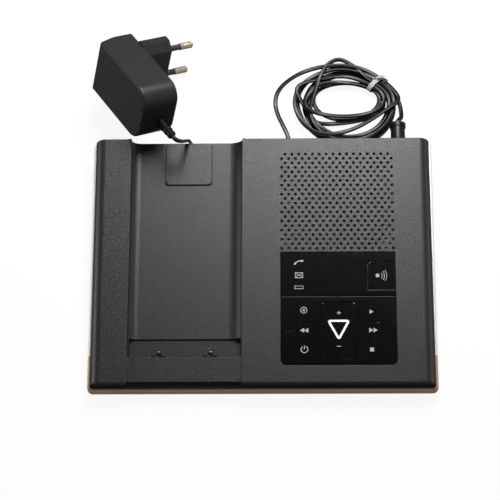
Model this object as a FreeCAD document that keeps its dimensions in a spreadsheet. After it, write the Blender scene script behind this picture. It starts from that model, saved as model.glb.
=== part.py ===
"""Cordless telephone base with an answering machine, its plug-in adaptor and its coiled lead.

The base stands on z = 0 with its front towards -Y. Its upper shell, panel and keys are laid
out on a slope: there x runs across the base, y up the slope from the front edge of the top
surface, and z square to the slope. Lengths are in millimetres and angles in degrees.
"""
import FreeCAD, Part
import math
import os
import re
import Sketcher

Vector = FreeCAD.Vector
doc = FreeCAD.newDocument("answering_machine")
sheet = doc.addObject("Spreadsheet::Sheet", "size")

SIZES = {
    # Base as a whole
    "overall_width": 196.0,
    "overall_depth": 148.0,
    "slope": 4.5,
    "overlap": 0.5,
    "overrun": 1.0,
    "front_height": 13.0,
    "foot_height": 1.5,
    # Silver lower case and its front trim
    "case_wall": 3.0,
    "base_plate": 2.0,
    "rim_width": 1.5,
    "rim_round": 1.2,
    "front_corner": 3.0,
    "back_corner": 2.0,
    "trim_length": 20.0,
    "trim_lift": 1.1,
    "seam": 0.3,
    # Upper housing
    "housing_wall": 2.0,
    "skirt_depth": 6.5,
    "flange_thickness": 1.2,
    "flange_corner": 1.4,
    "block_setback": 1.1,
    "shoulder": 6.0,
    "outline_round": 0.7,
    # Handset trough
    "trough_left": -75.6,
    "trough_width": 64.1,
    "trough_depth": 6.6,
    "trough_wall": 1.8,
    "left_drop": 3.6,
    "left_run": 5.4,
    "right_drop": 2.5,
    "right_run": 7.6,
    "lip_setback": 1.2,
    "lip_back": 15.4,
    "lip_drop": 2.0,
    "pocket_back": 27.0,
    "pocket_inset": 0.7,
    "pocket_drop": 1.8,
    "tab_left": -55.8,
    "tab_width": 26.4,
    "tab_front": 119.5,
    "tab_thickness": 1.9,
    "tab_recess": 1.1,
    "tab_corner": 2.2,
    "carrier_thickness": 0.9,
    "guard_height": 2.2,
    "rib_height": 0.4,
    "notch_height": 0.8,
    "guard_width": 6.9,
    "guard_length": 4.6,
    "guard_front": 17.0,
    "left_guard": -58.2,
    "right_guard": -29.2,
    "contact_width": 2.2,
    "contact_length": 3.0,
    # Loudspeaker grille
    "grille_centre": 42.7,
    "grille_front": 78.44,
    "hole_pitch": 3.944,
    "row_pitch": 2.729,
    "hole_width": 1.75,
    "grille_rows": 22,
    "grille_columns": 16,
    # Key panel
    "panel_left": 10.1,
    "panel_width": 65.1,
    "panel_front": 10.0,
    "panel_length": 66.4,
    "panel_corner": 3.0,
    "panel_sink": 0.3,
    "panel_recess": 2.4,
    "panel_ledge": 1.5,
    "panel_floor": 1.2,
    "panel_gap": 0.3,
    "key_area_length": 40.1,
    "key_thickness": 1.3,
    "key_travel": 0.45,
    "key_room": 0.15,
    "key_inset": 13.5,
    "key_offset": 9.5,
    "stem_width": 3.0,
    "cross_width": 46.7,
    "cross_length": 32.2,
    "cross_centre": 20.05,
    "arm_width": 19.2,
    "arm_height": 9.5,
    "arm_rise": 0.15,
    "cross_corner": 1.6,
    "ring_width": 13.4,
    "ring_length": 12.4,
    "ring_stroke": 1.2,
    "ring_depth": 0.7,
    "paging_width": 15.7,
    "paging_length": 16.6,
    "paging_front": 44.0,
    "paging_corner": 2.8,
    "light_left": 5.5,
    "light_width": 10.2,
    "light_front": 43.0,
    "light_length": 20.0,
    "lamp_spacing": 7.5,
    "lamp_size": 2.0,
    "lamp_height": 0.8,
    "lamp_room": 0.4,
    "guide_leg": 1.6,
    "gimbal_radius": 4.5,
    "gimbal_thickness": 0.8,
    # Boards and the parts on them
    "board_thickness": 1.2,
    "key_board_top": 8.5,
    "board_post": 1.9,
    "switch_size": 6.0,
    "switch_height": 3.0,
    "plunger_radius": 1.5,
    "plunger_height": 0.5,
    "main_board_left": -84.0,
    "main_board_right": 9.0,
    "main_board_front": -2.0,
    "main_board_back": 68.0,
    "standoff_height": 2.0,
    "standoff_radius": 2.5,
    "standoff_inset": 5.0,
    "standoff_back": 25.0,
    "shield_width": 38.0,
    "shield_length": 28.0,
    "shield_height": 3.0,
    "shield_left": 22.0,
    "shield_front": 27.0,
    "antenna_length": 14.0,
    "antenna_height": 5.0,
    "antenna_left": 4.0,
    "antenna_right": 56.0,
    "antenna_back": 8.0,
    "antenna_width": 2.0,
    "antenna_sheet": 0.6,
    # Loudspeaker
    "speaker_front": 107.0,
    "speaker_radius": 25.0,
    "gasket_thickness": 0.8,
    "speaker_rim": 1.0,
    "speaker_room": 0.2,
    "seal_width": 2.0,
    "roll_width": 2.2,
    "basket_sheet": 0.7,
    "ring_height": 3.0,
    "basket_depth": 6.0,
    "basket_base": 13.0,
    "magnet_radius": 12.0,
    "magnet_height": 4.5,
    "cone_radius": 21.5,
    "cone_sheet": 0.5,
    "cone_travel": 0.3,
    "dome_radius": 5.0,
    # Sockets in the back
    "socket_depth": 13.0,
    "socket_floor": 3.0,
    "mouth_lift": 1.8,
    "line_centre": 0.8,
    "line_width": 13.5,
    "line_height": 10.4,
    "mouth_width": 9.9,
    "mouth_height": 6.8,
    "mouth_depth": 11.0,
    "power_inset": 18.4,
    "power_height": 8.0,
    "power_width": 9.0,
    "power_bore": 3.15,
    "power_nose": 4.0,
    "power_pin": 1.0,
    "barrel_radius": 2.75,
    "barrel_bore": 1.25,
    "barrel_length": 9.5,
    "plug_radius": 4.2,
    "plug_length": 14.0,
    "plug_ridge": 0.5,
    "plug_ridge_length": 2.5,
    "plug_tail": 1.5,
    "plug_tail_rim": 0.6,
    # Feet and screws
    "foot_radius": 5.0,
    "foot_inset": 18.0,
    "foot_sink": 0.8,
    "boss_radius": 3.4,
    "boss_inset": 8.5,
    "boss_end": 13.5,
    "screw_radius": 1.3,
    "screw_length": 9.0,
    "head_radius": 2.6,
    "head_height": 1.2,
    # Plug-in adaptor
    "adaptor_x": -73.9,
    "adaptor_y": 120.9,
    "adaptor_z": 24.5,
    "adaptor_yaw": -56.28,
    "adaptor_pitch": -15.12,
    "adaptor_roll": -114.6,
    "adaptor_length": 57.5,
    "adaptor_width": 34.0,
    "adaptor_depth": 22.8,
    "adaptor_far": 12.3,
    "adaptor_split": 8.0,
    "adaptor_taper": 3.9,
    "adaptor_round": 10.0,
    "adaptor_corner": 2.0,
    "adaptor_edge": 1.2,
    "neck_length": 17.8,
    "neck_width": 35.3,
    "neck_flat": 26.1,
    "neck_height": 13.7,
    "neck_end": 4.5,
    "pin_radius": 2.0,
    "pin_core": 1.4,
    "pin_length": 19.0,
    "pin_seat": 5.0,
    "sleeve_length": 10.0,
    "sleeve_step": 0.25,
    "pin_spacing": 18.2,
    "relief_radius": 2.4,
    "relief_tip": 1.7,
    "relief_length": 14.0,
    "relief_rings": 4,
    "ring_radius": 3.1,
    "ring_thickness": 1.8,
    "relief_down": 9.6,
    "relief_across": 4.1,
    # Lead
    "cord_width": 2.2,
    "cord_sides": 8,
    "coil_x": 50.0,
    "coil_y": 109.2,
    "coil_inner_x": 20.7,
    "coil_inner_y": 11.6,
    "coil_pitch": 2.9,
    "coil_rise": 2.7,
    "coil_quarters": 15,
    "coil_tuck": 1.2,
    "tie_turn": 45.0,
    "tie_width": 4.0,
    "tie_thickness": 0.5,
    "tie_slack": 0.1,
    "tie_room": 0.4,
    "tie_knot": 1.3,
    "tie_end": 9.0,
    "tie_end_width": 2.8,
}
WORDS = re.compile(r"\b(" + "|".join(SIZES) + r")\b")


def fill_sheet():
    """Write each size as plain text, with its word as the alias."""
    for row, (word, number) in enumerate(SIZES.items(), start=1):
        sheet.set(f"A{row}", word)
        sheet.set(f"B{row}", str(number))
        sheet.setAlias(f"B{row}", word)
    doc.recompute()


def spelled(text):
    """Put the sheet's name before each of its words in an expression."""
    return WORDS.sub(r"size.\1", str(text))


def number(text):
    """Work out an expression as a plain number."""
    found = sheet.evalExpression(spelled(text))
    return float(getattr(found, "Value", found))


def bind(item, **expressions):
    """Bind properties of an object to the sheet."""
    for name, text in expressions.items():
        item.setExpression(name, spelled(text))
    return item


def place(item, at, frame=None, axis="0;0;1", turn="0"):
    """Bind a placement: a point, and a turn about an axis there, within a frame."""
    text = f"placement(vector({at[0]};{at[1]};{at[2]});rotation(vector({axis});{turn}))"
    if frame is not None:
        text = f"{frame.Name}.Placement*{text}"
    return bind(item, Placement=text)


def span(limits):
    """The length between two limits, as an expression."""
    return f"({limits[1]})-({limits[0]})"


def block(name, x, y, z, frame=None):
    """A box between two limits along each axis."""
    item = doc.addObject("Part::Box", name)
    bind(item, Length=span(x), Width=span(y), Height=span(z))
    return place(item, (x[0], y[0], z[0]), frame)


def rod(name, radius, at, length, frame=None, axis="0;0;1", turn="0"):
    """A cylinder that starts at a point and runs along the turned z axis."""
    item = doc.addObject("Part::Cylinder", name)
    bind(item, Radius=radius, Height=length)
    return place(item, at, frame, axis, turn)


def taper(name, radii, at, length, frame=None, axis="0;0;1", turn="0"):
    """A cone between two radii that starts at a point and runs along the turned z axis."""
    item = doc.addObject("Part::Cone", name)
    bind(item, Radius1=radii[0], Radius2=radii[1], Height=length)
    return place(item, at, frame, axis, turn)


def cut(name, base, *tools):
    """A solid less one or more others."""
    item = doc.addObject("Part::Cut", name)
    item.Base = base
    item.Tool = tools[0] if len(tools) == 1 else fuse(f"{name}_cutters", *tools)
    return item


def fuse(name, *pieces):
    """Several solids as one."""
    item = doc.addObject("Part::MultiFuse", name)
    item.Shapes = list(pieces)
    return item


def common(name, *pieces):
    """What several solids share."""
    item = doc.addObject("Part::MultiCommon", name)
    item.Shapes = list(pieces)
    return item


def arc_between(start, end, radius, leftward):
    """The short arc between two points of a sketch, which curves leftward or rightward."""
    chord = end - start
    side = Vector(-chord.y, chord.x, 0).normalize() * (1 if leftward else -1)
    reach = math.sqrt(radius**2 - (chord.Length / 2) ** 2)
    centre = (start + end) / 2 + side * reach
    first, last = (start, end) if leftward else (end, start)
    angles = [math.atan2(p.y - centre.y, p.x - centre.x) for p in (first, last)]
    return Part.ArcOfCircle(Part.Circle(centre, Vector(0, 0, 1), radius), *angles)


def draw(sketch, corners):
    """Draw a closed outline and bind it. A corner is (x, y), or (x, y, side, radius) where an
    arc that curves to that side runs on from it."""
    points = [Vector(number(c[0]), number(c[1]), 0) for c in corners]
    starts, ends = [], []
    for index, corner in enumerate(corners):
        here, there = points[index], points[(index + 1) % len(points)]
        if len(corner) == 2:
            sketch.addGeometry(Part.LineSegment(here, there), False)
            backward = False
        else:
            backward = corner[2] == "right"
            radius = number(corner[3])
            sketch.addGeometry(arc_between(here, there, radius, not backward), False)
            at = sketch.addConstraint(Sketcher.Constraint("Radius", index, radius))
            bind(sketch, **{f"Constraints[{at}]": corner[3]})
        starts.append((index, 2 if backward else 1))
        ends.append((index, 1 if backward else 2))
    for index, corner in enumerate(corners):
        after = starts[(index + 1) % len(corners)]
        sketch.addConstraint(Sketcher.Constraint("Coincident", *ends[index], *after))
        for kind, text, value in (
            ("DistanceX", corner[0], points[index].x),
            ("DistanceY", corner[1], points[index].y),
        ):
            rule = Sketcher.Constraint(kind, -1, 1, *starts[index], value)
            bind(sketch, **{f"Constraints[{sketch.addConstraint(rule)}]": text})


def sketched(name, corners):
    """A body with one sketch on its XY plane."""
    body = doc.addObject("PartDesign::Body", name)
    sketch = body.newObject("Sketcher::SketchObject", f"{name}_outline")
    plane = next(p for p in body.Origin.OriginFeatures if p.Role == "XY_Plane")
    sketch.AttachmentSupport = [(plane, "")]
    sketch.MapMode = "FlatFace"
    draw(sketch, corners)
    return body, sketch


def slab(name, corners, at, height, frame=None, axis="0;0;1", turn="0"):
    """An outline raised to a height along the turned z axis."""
    body, sketch = sketched(name, corners)
    pad = body.newObject("PartDesign::Pad", f"{name}_pad")
    pad.Profile = sketch
    bind(pad, Length=height)
    place(body, at, frame, axis, turn)
    doc.recompute()
    return body


def turned(name, corners, at, frame=None, axis="0;0;1", turn="0"):
    """A half outline (radius, height) turned about the y axis of its sketch."""
    body, sketch = sketched(name, corners)
    ring = body.newObject("PartDesign::Revolution", f"{name}_turn")
    ring.Profile = sketch
    ring.ReferenceAxis = (sketch, ["V_Axis"])
    ring.Angle = 360
    place(body, at, frame, axis, turn)
    doc.recompute()
    return body


def soften(body, name, radius, wanted):
    """Round the edges of a body that a test of their two ends picks, in the body's own frame."""
    doc.recompute()
    names = []
    for index, edge in enumerate(body.Tip.Shape.Edges, start=1):
        ends = [edge.valueAt(edge.FirstParameter), edge.valueAt(edge.LastParameter)]
        if wanted(*ends):
            names.append(f"Edge{index}")
    base = body.Tip
    fillet = body.newObject("PartDesign::Fillet", name)
    fillet.Base = (base, names)
    bind(fillet, Radius=radius)
    doc.recompute()
    return body


def upright(a, b):
    """Whether an edge runs along z."""
    return math.hypot(a.x - b.x, a.y - b.y) < 1e-6


def box_outline(x, y):
    """The corners of a rectangle between two limits each way."""
    return [(x[0], y[0]), (x[1], y[0]), (x[1], y[1]), (x[0], y[1])]


ACROSS = {"axis": "1;1;1", "turn": "120"}
FORWARD = {"axis": "1;0;0", "turn": "90"}
BACKWARD = {"axis": "1;0;0", "turn": "-90"}

parts = []


def keep(item, name):
    """List a finished sub-part under its node's name."""
    item.Label = name
    parts.append(item)
    return item


fill_sheet()

FRONT_LINE = "(rim_width+block_setback-overall_depth/2)"
BACK_LINE = "(overall_depth/2)"
TOP_HALF = "(overall_width/2-rim_width)"
SLOPE_LENGTH = f"(({BACK_LINE}-{FRONT_LINE})/cos(slope))"
PLATE_TOP = "(foot_height+base_plate)"
TROUGH_RIGHT = "(trough_left+trough_width)"
slope_frame = doc.addObject("Part::Vertex", "slope_frame")
place(slope_frame, ("0", FRONT_LINE, "front_height"), None, "1;0;0", "slope")
adaptor_frame = doc.addObject("Part::Vertex", "adaptor_frame")
bind(
    adaptor_frame,
    Placement="placement(vector(adaptor_x;adaptor_y;adaptor_z);"
    "rotation(adaptor_yaw;adaptor_pitch;adaptor_roll))",
)
doc.recompute()


def level(y, drop):
    """The height of the plane that lies a drop below the sloping top, at a distance y."""
    return f"(front_height+(({y})-{FRONT_LINE})*tan(slope)-({drop})/cos(slope))"


# Silver lower case: a wedge with a rounded rim, hollow inside
def wedge(name, half_width, front, back, low, drop):
    """A solid with upright sides under a plane that is parallel to the slope."""
    outline = [(front, low), (back, low), (back, level(back, drop)), (front, level(front, drop))]
    return slab(name, outline, (f"-({half_width})", "0", "0"), f"2*({half_width})", None, **ACROSS)


case_form = wedge(
    "case_form", "overall_width/2", f"-{BACK_LINE}", BACK_LINE, "foot_height", "skirt_depth"
)
# In this body's own frame x is the depth and y the height
depth_limit = number("overall_depth/2")
soften(case_form, "case_front_corners", "front_corner",
       lambda a, b: abs(a.x - b.x) < 1e-6 and abs(a.z - b.z) < 1e-6 and a.x < 0)
soften(case_form, "case_back_corners", "back_corner",
       lambda a, b: abs(a.x - b.x) < 1e-6 and abs(a.z - b.z) < 1e-6 and a.x > depth_limit - 1e-6)


def on_rim(a, b):
    """Whether an edge belongs to the rim's outer line at the sides and the front."""
    heights = [number(level(str(p.x), "skirt_depth")) for p in (a, b)]
    on_top = abs(a.y - heights[0]) < 1e-3 and abs(b.y - heights[1]) < 1e-3
    at_back = min(a.x, b.x) > depth_limit - number("back_corner") - 1e-3
    return on_top and not at_back


soften(case_form, "case_rim", "rim_round", on_rim)
case_hollow = wedge(
    "case_hollow", "overall_width/2-case_wall", f"case_wall-{BACK_LINE}",
    f"{BACK_LINE}-case_wall", PLATE_TOP, "skirt_depth",
)

# Upper housing: a block with rounded shoulders, sloping with the top
LEAN = "skirt_depth*tan(slope)"
housing_form = slab(
    "housing_form",
    [("0", "0"), (f"-{LEAN}", "-skirt_depth"), (f"{SLOPE_LENGTH}-{LEAN}", "-skirt_depth"),
     (SLOPE_LENGTH, "0")],
    (f"-{TOP_HALF}", "0", "0"), f"2*{TOP_HALF}", slope_frame, **ACROSS,
)
# In this body's own frame x runs up the slope, y square to it and z across
soften(housing_form, "shoulders", "shoulder",
       lambda a, b: abs(a.y) < 1e-6 and abs(b.y) < 1e-6 and abs(a.z - b.z) < 1e-6)


def on_ends(a, b):
    """Whether an edge belongs to the outline of the front or back face above the skirt."""
    upper = min(a.y, b.y) > -number("skirt_depth") + 1e-3 or abs(a.z - b.z) < 1e-6
    flat = [abs((p.x - p.y * math.tan(math.radians(number("slope"))))) for p in (a, b)]
    far = number(SLOPE_LENGTH)
    front = max(flat) < 1e-3
    back = all(abs(value - far) < 1e-3 for value in flat)
    return upper and (front or back) and not abs(a.y + b.y + 2 * number("skirt_depth")) < 1e-3


soften(housing_form, "end_rounding", "outline_round", on_ends)
housing_hollow = slab(
    "housing_hollow",
    [("housing_wall", "-housing_wall"),
     ("housing_wall-(skirt_depth-housing_wall)*tan(slope)", "-skirt_depth"),
     (f"{SLOPE_LENGTH}-housing_wall-(skirt_depth-housing_wall)*tan(slope)", "-skirt_depth"),
     (f"{SLOPE_LENGTH}-housing_wall", "-housing_wall")],
    (f"housing_wall-{TOP_HALF}", "0", "0"), f"2*({TOP_HALF}-housing_wall)", slope_frame, **ACROSS,
)
soften(housing_hollow, "inner_shoulders", "shoulder-housing_wall",
       lambda a, b: max(a.y, b.y) < -number("housing_wall") + 1e-6
       and min(a.y, b.y) > -number("housing_wall") - 1e-6 and abs(a.z - b.z) < 1e-6)

FLANGE_FRONT = "-block_setback/cos(slope)"
flange = slab(
    "flange",
    box_outline((f"-{TOP_HALF}", TOP_HALF), (f"{FLANGE_FRONT}-{LEAN}", "housing_wall")),
    ("0", "0", "-skirt_depth"), "flange_thickness", slope_frame,
)
soften(flange, "flange_corners", "flange_corner",
       lambda a, b: upright(a, b) and a.y < 0)


def trough_profile(wall):
    """The outline across the trough, which grows by a wall: (x, height)."""
    def curve(run, drop):
        return f"((({run})^2+(trough_depth-{drop})^2)/(2*(trough_depth-{drop})))"

    def meeting(run, drop):
        radius = curve(run, drop)
        return f"({radius}-trough_depth-sqrt(({radius}+{wall})^2-({run}+{wall})^2))"

    left, right = f"(trough_left-{wall})", f"({TROUGH_RIGHT}+{wall})"
    floor = f"(-trough_depth-{wall})"
    return [
        (left, "1"),
        (left, meeting("left_run", "left_drop"), "left", f"{curve('left_run', 'left_drop')}+{wall}"),
        ("trough_left+left_run", floor),
        (f"{TROUGH_RIGHT}-right_run", floor, "left",
         f"{curve('right_run', 'right_drop')}+{wall}"),
        (right, meeting("right_run", "right_drop")),
        (right, "1"),
    ]


TROUGH_END = f"({SLOPE_LENGTH}+overrun)"
trough = slab(
    "trough", trough_profile("0"), ("0", TROUGH_END, "0"), f"{TROUGH_END}-lip_back",
    slope_frame, **FORWARD,
)
trough_skin = slab(
    "trough_skin", trough_profile("trough_wall"), ("0", TROUGH_END, "0"),
    f"{TROUGH_END}-lip_back+trough_wall", slope_frame, **FORWARD,
)
POCKET_X = ("trough_left+pocket_inset", f"{TROUGH_RIGHT}-pocket_inset")
POCKET_FLOOR = "(trough_depth+pocket_drop)"
pocket = block("pocket", POCKET_X, ("lip_back", "pocket_back"),
               (f"-{POCKET_FLOOR}", "-lip_drop"), slope_frame)
pocket_skin = block(
    "pocket_skin", (f"{POCKET_X[0]}-trough_wall", f"{POCKET_X[1]}+trough_wall"),
    ("lip_back-trough_wall", "pocket_back+trough_wall"),
    (f"-{POCKET_FLOOR}-trough_wall", "-trough_depth"), slope_frame,
)
LIP_X = ("trough_left-trough_wall", f"{TROUGH_RIGHT}+trough_wall")
lip_plate = block("lip_plate", LIP_X, ("overlap", "lip_back"),
                  ("-lip_drop-housing_wall", "overlap-housing_wall"), slope_frame)
lip_front = block("lip_front", LIP_X, ("overlap", "lip_setback+housing_wall"),
                  ("-skirt_depth", "overlap-housing_wall"), slope_frame)
LIP_CUT_FRONT = "(-block_setback-overrun)"
lip_cut = block("lip_cut", ("trough_left", TROUGH_RIGHT), (LIP_CUT_FRONT, "lip_back"),
                ("-lip_drop", "overrun"), slope_frame)
lip_face_cut = block("lip_face_cut", ("trough_left", TROUGH_RIGHT), (LIP_CUT_FRONT, "lip_setback"),
                     ("flange_thickness-skirt_depth", "overrun"), slope_frame)

# Recess for the key panel, with a ledge and a floor
PANEL_X = ("panel_left", "panel_left+panel_width")
PANEL_Y = ("panel_front", "panel_front+panel_length")
TUB_X = ("panel_left-panel_ledge", "panel_left+panel_width+panel_ledge")
TUB_Y = ("panel_front-panel_ledge", "panel_front+panel_length+panel_ledge")
TUB_FLOOR = "(panel_recess+panel_floor)"
KEYS_TOP = "(panel_front+key_area_length)"
tub = block("tub", TUB_X, TUB_Y, (f"-{TUB_FLOOR}", "overlap-housing_wall"), slope_frame)
panel_recess_cut = slab("panel_recess_cut", box_outline(PANEL_X, PANEL_Y),
                        ("0", "0", "-panel_recess"), "panel_recess+overrun", slope_frame)
soften(panel_recess_cut, "recess_corners", "panel_corner",
       lambda a, b: upright(a, b) and a.y < number("panel_front+1"))
keys_opening = block(
    "keys_opening", ("panel_left+panel_ledge", "panel_left+panel_width-panel_ledge"),
    ("panel_front+panel_ledge", f"{KEYS_TOP}-panel_ledge"), ("-key_board_top", "0"), slope_frame,
)
LIGHT_X = ("panel_left+light_left", "panel_left+light_left+light_width")
LIGHT_Y = ("panel_front+light_front", "panel_front+light_front+light_length")
light_opening = block(
    "light_opening", (f"{LIGHT_X[0]}-panel_gap", f"{LIGHT_X[1]}+panel_gap"),
    (f"{LIGHT_Y[0]}-panel_gap", f"{LIGHT_Y[1]}+panel_gap"), ("-key_board_top", "0"), slope_frame,
)
PAGING_X = (f"{PANEL_X[1]}-paging_width", f"{PANEL_X[1]}-panel_gap")
PAGING_Y = ("panel_front+paging_front", "panel_front+paging_front+paging_length")
PAGING_STEM = (f"({PAGING_X[0]}+{PAGING_X[1]})/2", f"({PAGING_Y[0]}+{PAGING_Y[1]})/2")
paging_opening = block(
    "paging_opening",
    (f"{PAGING_STEM[0]}-stem_width/2-panel_gap", f"{PAGING_STEM[0]}+stem_width/2+panel_gap"),
    (f"{PAGING_STEM[1]}-stem_width/2-panel_gap", f"{PAGING_STEM[1]}+stem_width/2+panel_gap"),
    ("-key_board_top", "0"), slope_frame,
)


def grille_holes():
    """The holes of the grille as one compound of six-sided prisms, in staggered rows."""
    pitch, row_pitch = number("hole_pitch"), number("row_pitch")
    corner = number("hole_width") / 2
    columns, rows = int(number("grille_columns")), int(number("grille_rows"))
    bottom, height = -number("housing_wall+overlap"), number("housing_wall+2*overlap")
    prisms = []
    for row in range(rows):
        in_row = columns + (row + rows + 1) % 2
        y = number("grille_front") + row * row_pitch
        for column in range(in_row):
            x = number("grille_centre") + (column - (in_row - 1) / 2) * pitch
            ring = [
                Vector(x + corner * math.cos(turn), y + corner * math.sin(turn), bottom)
                for turn in (math.radians(60 * side + 30) for side in range(6))
            ]
            face = Part.Face(Part.makePolygon(ring + ring[:1]))
            prisms.append(face.extrude(Vector(0, 0, height)))
    return Part.makeCompound(prisms)


grille = doc.addObject("Part::Feature", "grille")
grille.Shape = grille_holes()
bind(grille, Placement="slope_frame.Placement")

# Loudspeaker seat, board posts and screw posts under the top surface
SPEAKER_AT = ("grille_centre", "speaker_front")
ring_outer = rod("ring_outer", "speaker_radius+speaker_room+housing_wall",
                 (*SPEAKER_AT, "-housing_wall-ring_height"), "ring_height+overlap", slope_frame)
ring_inner = rod("ring_inner", "speaker_radius+speaker_room",
                 (*SPEAKER_AT, "-housing_wall-ring_height-overrun"), "ring_height+overrun", slope_frame)
speaker_ring = cut("speaker_ring", ring_outer, ring_inner)


def board_posts():
    """Posts that carry the key board, at the corners of the panel and where its parts meet."""
    posts = []
    for column, x in enumerate((PANEL_X[0], PANEL_X[1])):
        for row, y in enumerate((PANEL_Y[0], KEYS_TOP, PANEL_Y[1])):
            posts.append(rod(f"board_post_{column}_{row}", "board_post", (x, y, "-key_board_top"),
                             f"key_board_top-{TUB_FLOOR}+overlap", slope_frame))
    return posts


BOSS_X = "(overall_width/2-boss_inset)"
BOSS_Y = f"({BACK_LINE}-boss_end)"
CORNERS = [(side, end) for end in ("-", "") for side in ("-", "")]


def corner_rods(name, radius, low, height):
    """Four upright rods at the screw positions."""
    return [
        rod(f"{name}_{index}", radius, (f"{side}{BOSS_X}", f"{end}{BOSS_Y}", low), height)
        for index, (side, end) in enumerate(CORNERS, start=1)
    ]


ABOVE_ALL = "(2*front_height)"
post_rods = fuse("post_rods", *corner_rods("post_rod", "boss_radius", "0", ABOVE_ALL))
screw_posts = common("screw_posts", post_rods, housing_hollow)
housing_bores = corner_rods("housing_bore", "screw_radius", "foot_height", "screw_length+overrun")

shell = cut("shell", housing_form, housing_hollow)
shell_and_fittings = fuse(
    "shell_and_fittings", shell, flange, trough_skin, pocket_skin, lip_plate, lip_front, tub,
    speaker_ring, screw_posts, *board_posts(),
)
outer_limit = slab(
    "outer_limit",
    [(f"-{BACK_LINE}", "0"), (BACK_LINE, "0"), (BACK_LINE, level(BACK_LINE, "0")),
     (f"-{BACK_LINE}", level(f"-{BACK_LINE}", "0"))],
    (f"-{TOP_HALF}", "0", "0"), f"2*{TOP_HALF}", None, **ACROSS,
)
TAB_X = ("tab_left", "tab_left+tab_width")
TAB_Y = ("tab_front", f"{SLOPE_LENGTH}-{LEAN}-seam")
tab_seat = block("tab_seat", (f"{TAB_X[0]}-seam", f"{TAB_X[1]}+seam"),
                 (f"{TAB_Y[0]}-seam", TROUGH_END), ("-trough_depth-tab_recess", "0"), slope_frame)
GUARDS = {"left": "left_guard", "right": "right_guard"}
GUARD_Y = ("guard_front", "guard_front+guard_length")
CONTACT_Y = (
    "(guard_front+guard_length/2-contact_length/2)", "(guard_front+guard_length/2+contact_length/2)"
)


def contact_slot(name, centre, room, low, high):
    """A slot through which a contact moves."""
    return block(
        name, (f"{centre}-contact_width/2-{room}", f"{centre}+contact_width/2+{room}"),
        (f"{CONTACT_Y[0]}-{room}", f"{CONTACT_Y[1]}+{room}"), (low, high), slope_frame,
    )


floor_slots = [
    contact_slot(f"floor_slot_{side}", centre, "seam", f"-{POCKET_FLOOR}-trough_wall-overrun",
                 f"overrun-{POCKET_FLOOR}")
    for side, centre in GUARDS.items()
]
housing_blank = common("housing_blank", shell_and_fittings, outer_limit)
plain_housing = cut(
    "plain_housing", housing_blank, trough, pocket, lip_cut, lip_face_cut, panel_recess_cut,
    keys_opening, light_opening, paging_opening, tab_seat, *floor_slots, *housing_bores,
)
upper_housing = keep(cut("upper_housing", plain_housing, grille), "upper_housing")

# Lower case with bosses, standoffs and openings
screw_bosses = corner_rods("screw_boss", "boss_radius", PLATE_TOP, ABOVE_ALL)
BOARD_BOTTOM = f"({PLATE_TOP}+standoff_height)"
BOARD_TOP = f"({BOARD_BOTTOM}+board_thickness)"
standoffs = [
    rod(f"standoff_{column}_{row}", "standoff_radius", (x, y, PLATE_TOP), "standoff_height")
    for column, x in enumerate(("main_board_left+standoff_inset", "main_board_right-standoff_inset"))
    for row, y in enumerate(("main_board_front+standoff_inset", "main_board_back-standoff_back"))
]
bosses = common("bosses", fuse("boss_rods", *screw_bosses), case_hollow)
TRIM_BACK = f"(trim_length-{BACK_LINE})"
TRIM_LOW = "(foot_height+trim_lift)"


def trim_zone(name, gap):
    """The outer skin round the front, which grows by a gap at its back and underside."""
    outer = block(f"{name}_outer", ("-overall_width", "overall_width"),
                  ("-overall_depth", f"{TRIM_BACK}+{gap}"), (f"{TRIM_LOW}-{gap}", ABOVE_ALL))
    inner = block(f"{name}_inner", (f"-{TOP_HALF}", TOP_HALF), (f"rim_width-{BACK_LINE}", BACK_LINE),
                  ("0", f"{ABOVE_ALL}+overrun"))
    return cut(name, outer, inner)


front_trim = keep(common("front_trim", case_form, trim_zone("trim_space", "0")), "front_trim")
POWER_CENTRE = "(overall_width/2-power_inset)"
POWER_X = (f"{POWER_CENTRE}-power_width/2", f"{POWER_CENTRE}+power_width/2")
LINE_X = ("line_centre-line_width/2", "line_centre+line_width/2")
MOUTH_X = ("line_centre-mouth_width/2", "line_centre+mouth_width/2")
MOUTH_Z = (f"({BOARD_TOP}+mouth_lift)", f"({BOARD_TOP}+mouth_lift+mouth_height)")
WALL_INSIDE = f"({BACK_LINE}-case_wall)"
line_mouth = block(
    "line_mouth", (f"{MOUTH_X[0]}-seam", f"{MOUTH_X[1]}+seam"),
    (f"{WALL_INSIDE}-overrun", f"{BACK_LINE}+overrun"), (f"{MOUTH_Z[0]}-seam", f"{MOUTH_Z[1]}+seam"),
)
power_mouth = rod("power_mouth", "power_nose", (POWER_CENTRE, f"{WALL_INSIDE}-overrun", "power_height"),
                  "case_wall+2*overrun", None, **BACKWARD)
FOOT_X = "(overall_width/2-foot_inset)"
FOOT_Y = f"({BACK_LINE}-foot_inset)"


def feet(name, low, height):
    """Four discs at the corners of the underside."""
    return [
        rod(f"{name}_{index}", "foot_radius", (f"{side}{FOOT_X}", f"{end}{FOOT_Y}", low), height)
        for index, (side, end) in enumerate(CORNERS, start=1)
    ]


case_shell = cut("case_shell", case_form, case_hollow)
case_and_bosses = fuse("case_and_bosses", case_shell, bosses, *standoffs)
lower_case = keep(
    cut(
        "lower_case", case_and_bosses, trim_zone("trim_seat", "seam"), trough_skin, pocket_skin,
        line_mouth, power_mouth, *feet("foot_seat", "foot_height-overrun", "foot_sink+overrun"),
        *corner_rods("shank_bore", "screw_radius", "0", ABOVE_ALL),
        *corner_rods("head_bore", "head_radius", "0", "foot_height+head_height"),
    ),
    "lower_case",
)
for index, foot in enumerate(feet("foot", "0", "foot_height+foot_sink"), start=1):
    keep(foot, f"foot_{index}")
for index, (shank, head) in enumerate(
    zip(
        corner_rods("shank", "screw_radius", "foot_height+head_height", "screw_length-head_height"),
        corner_rods("head", "head_radius", "foot_height", "head_height"),
    ),
    start=1,
):
    keep(fuse(f"screw_{index}", shank, head), f"screw_{index}")

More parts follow.
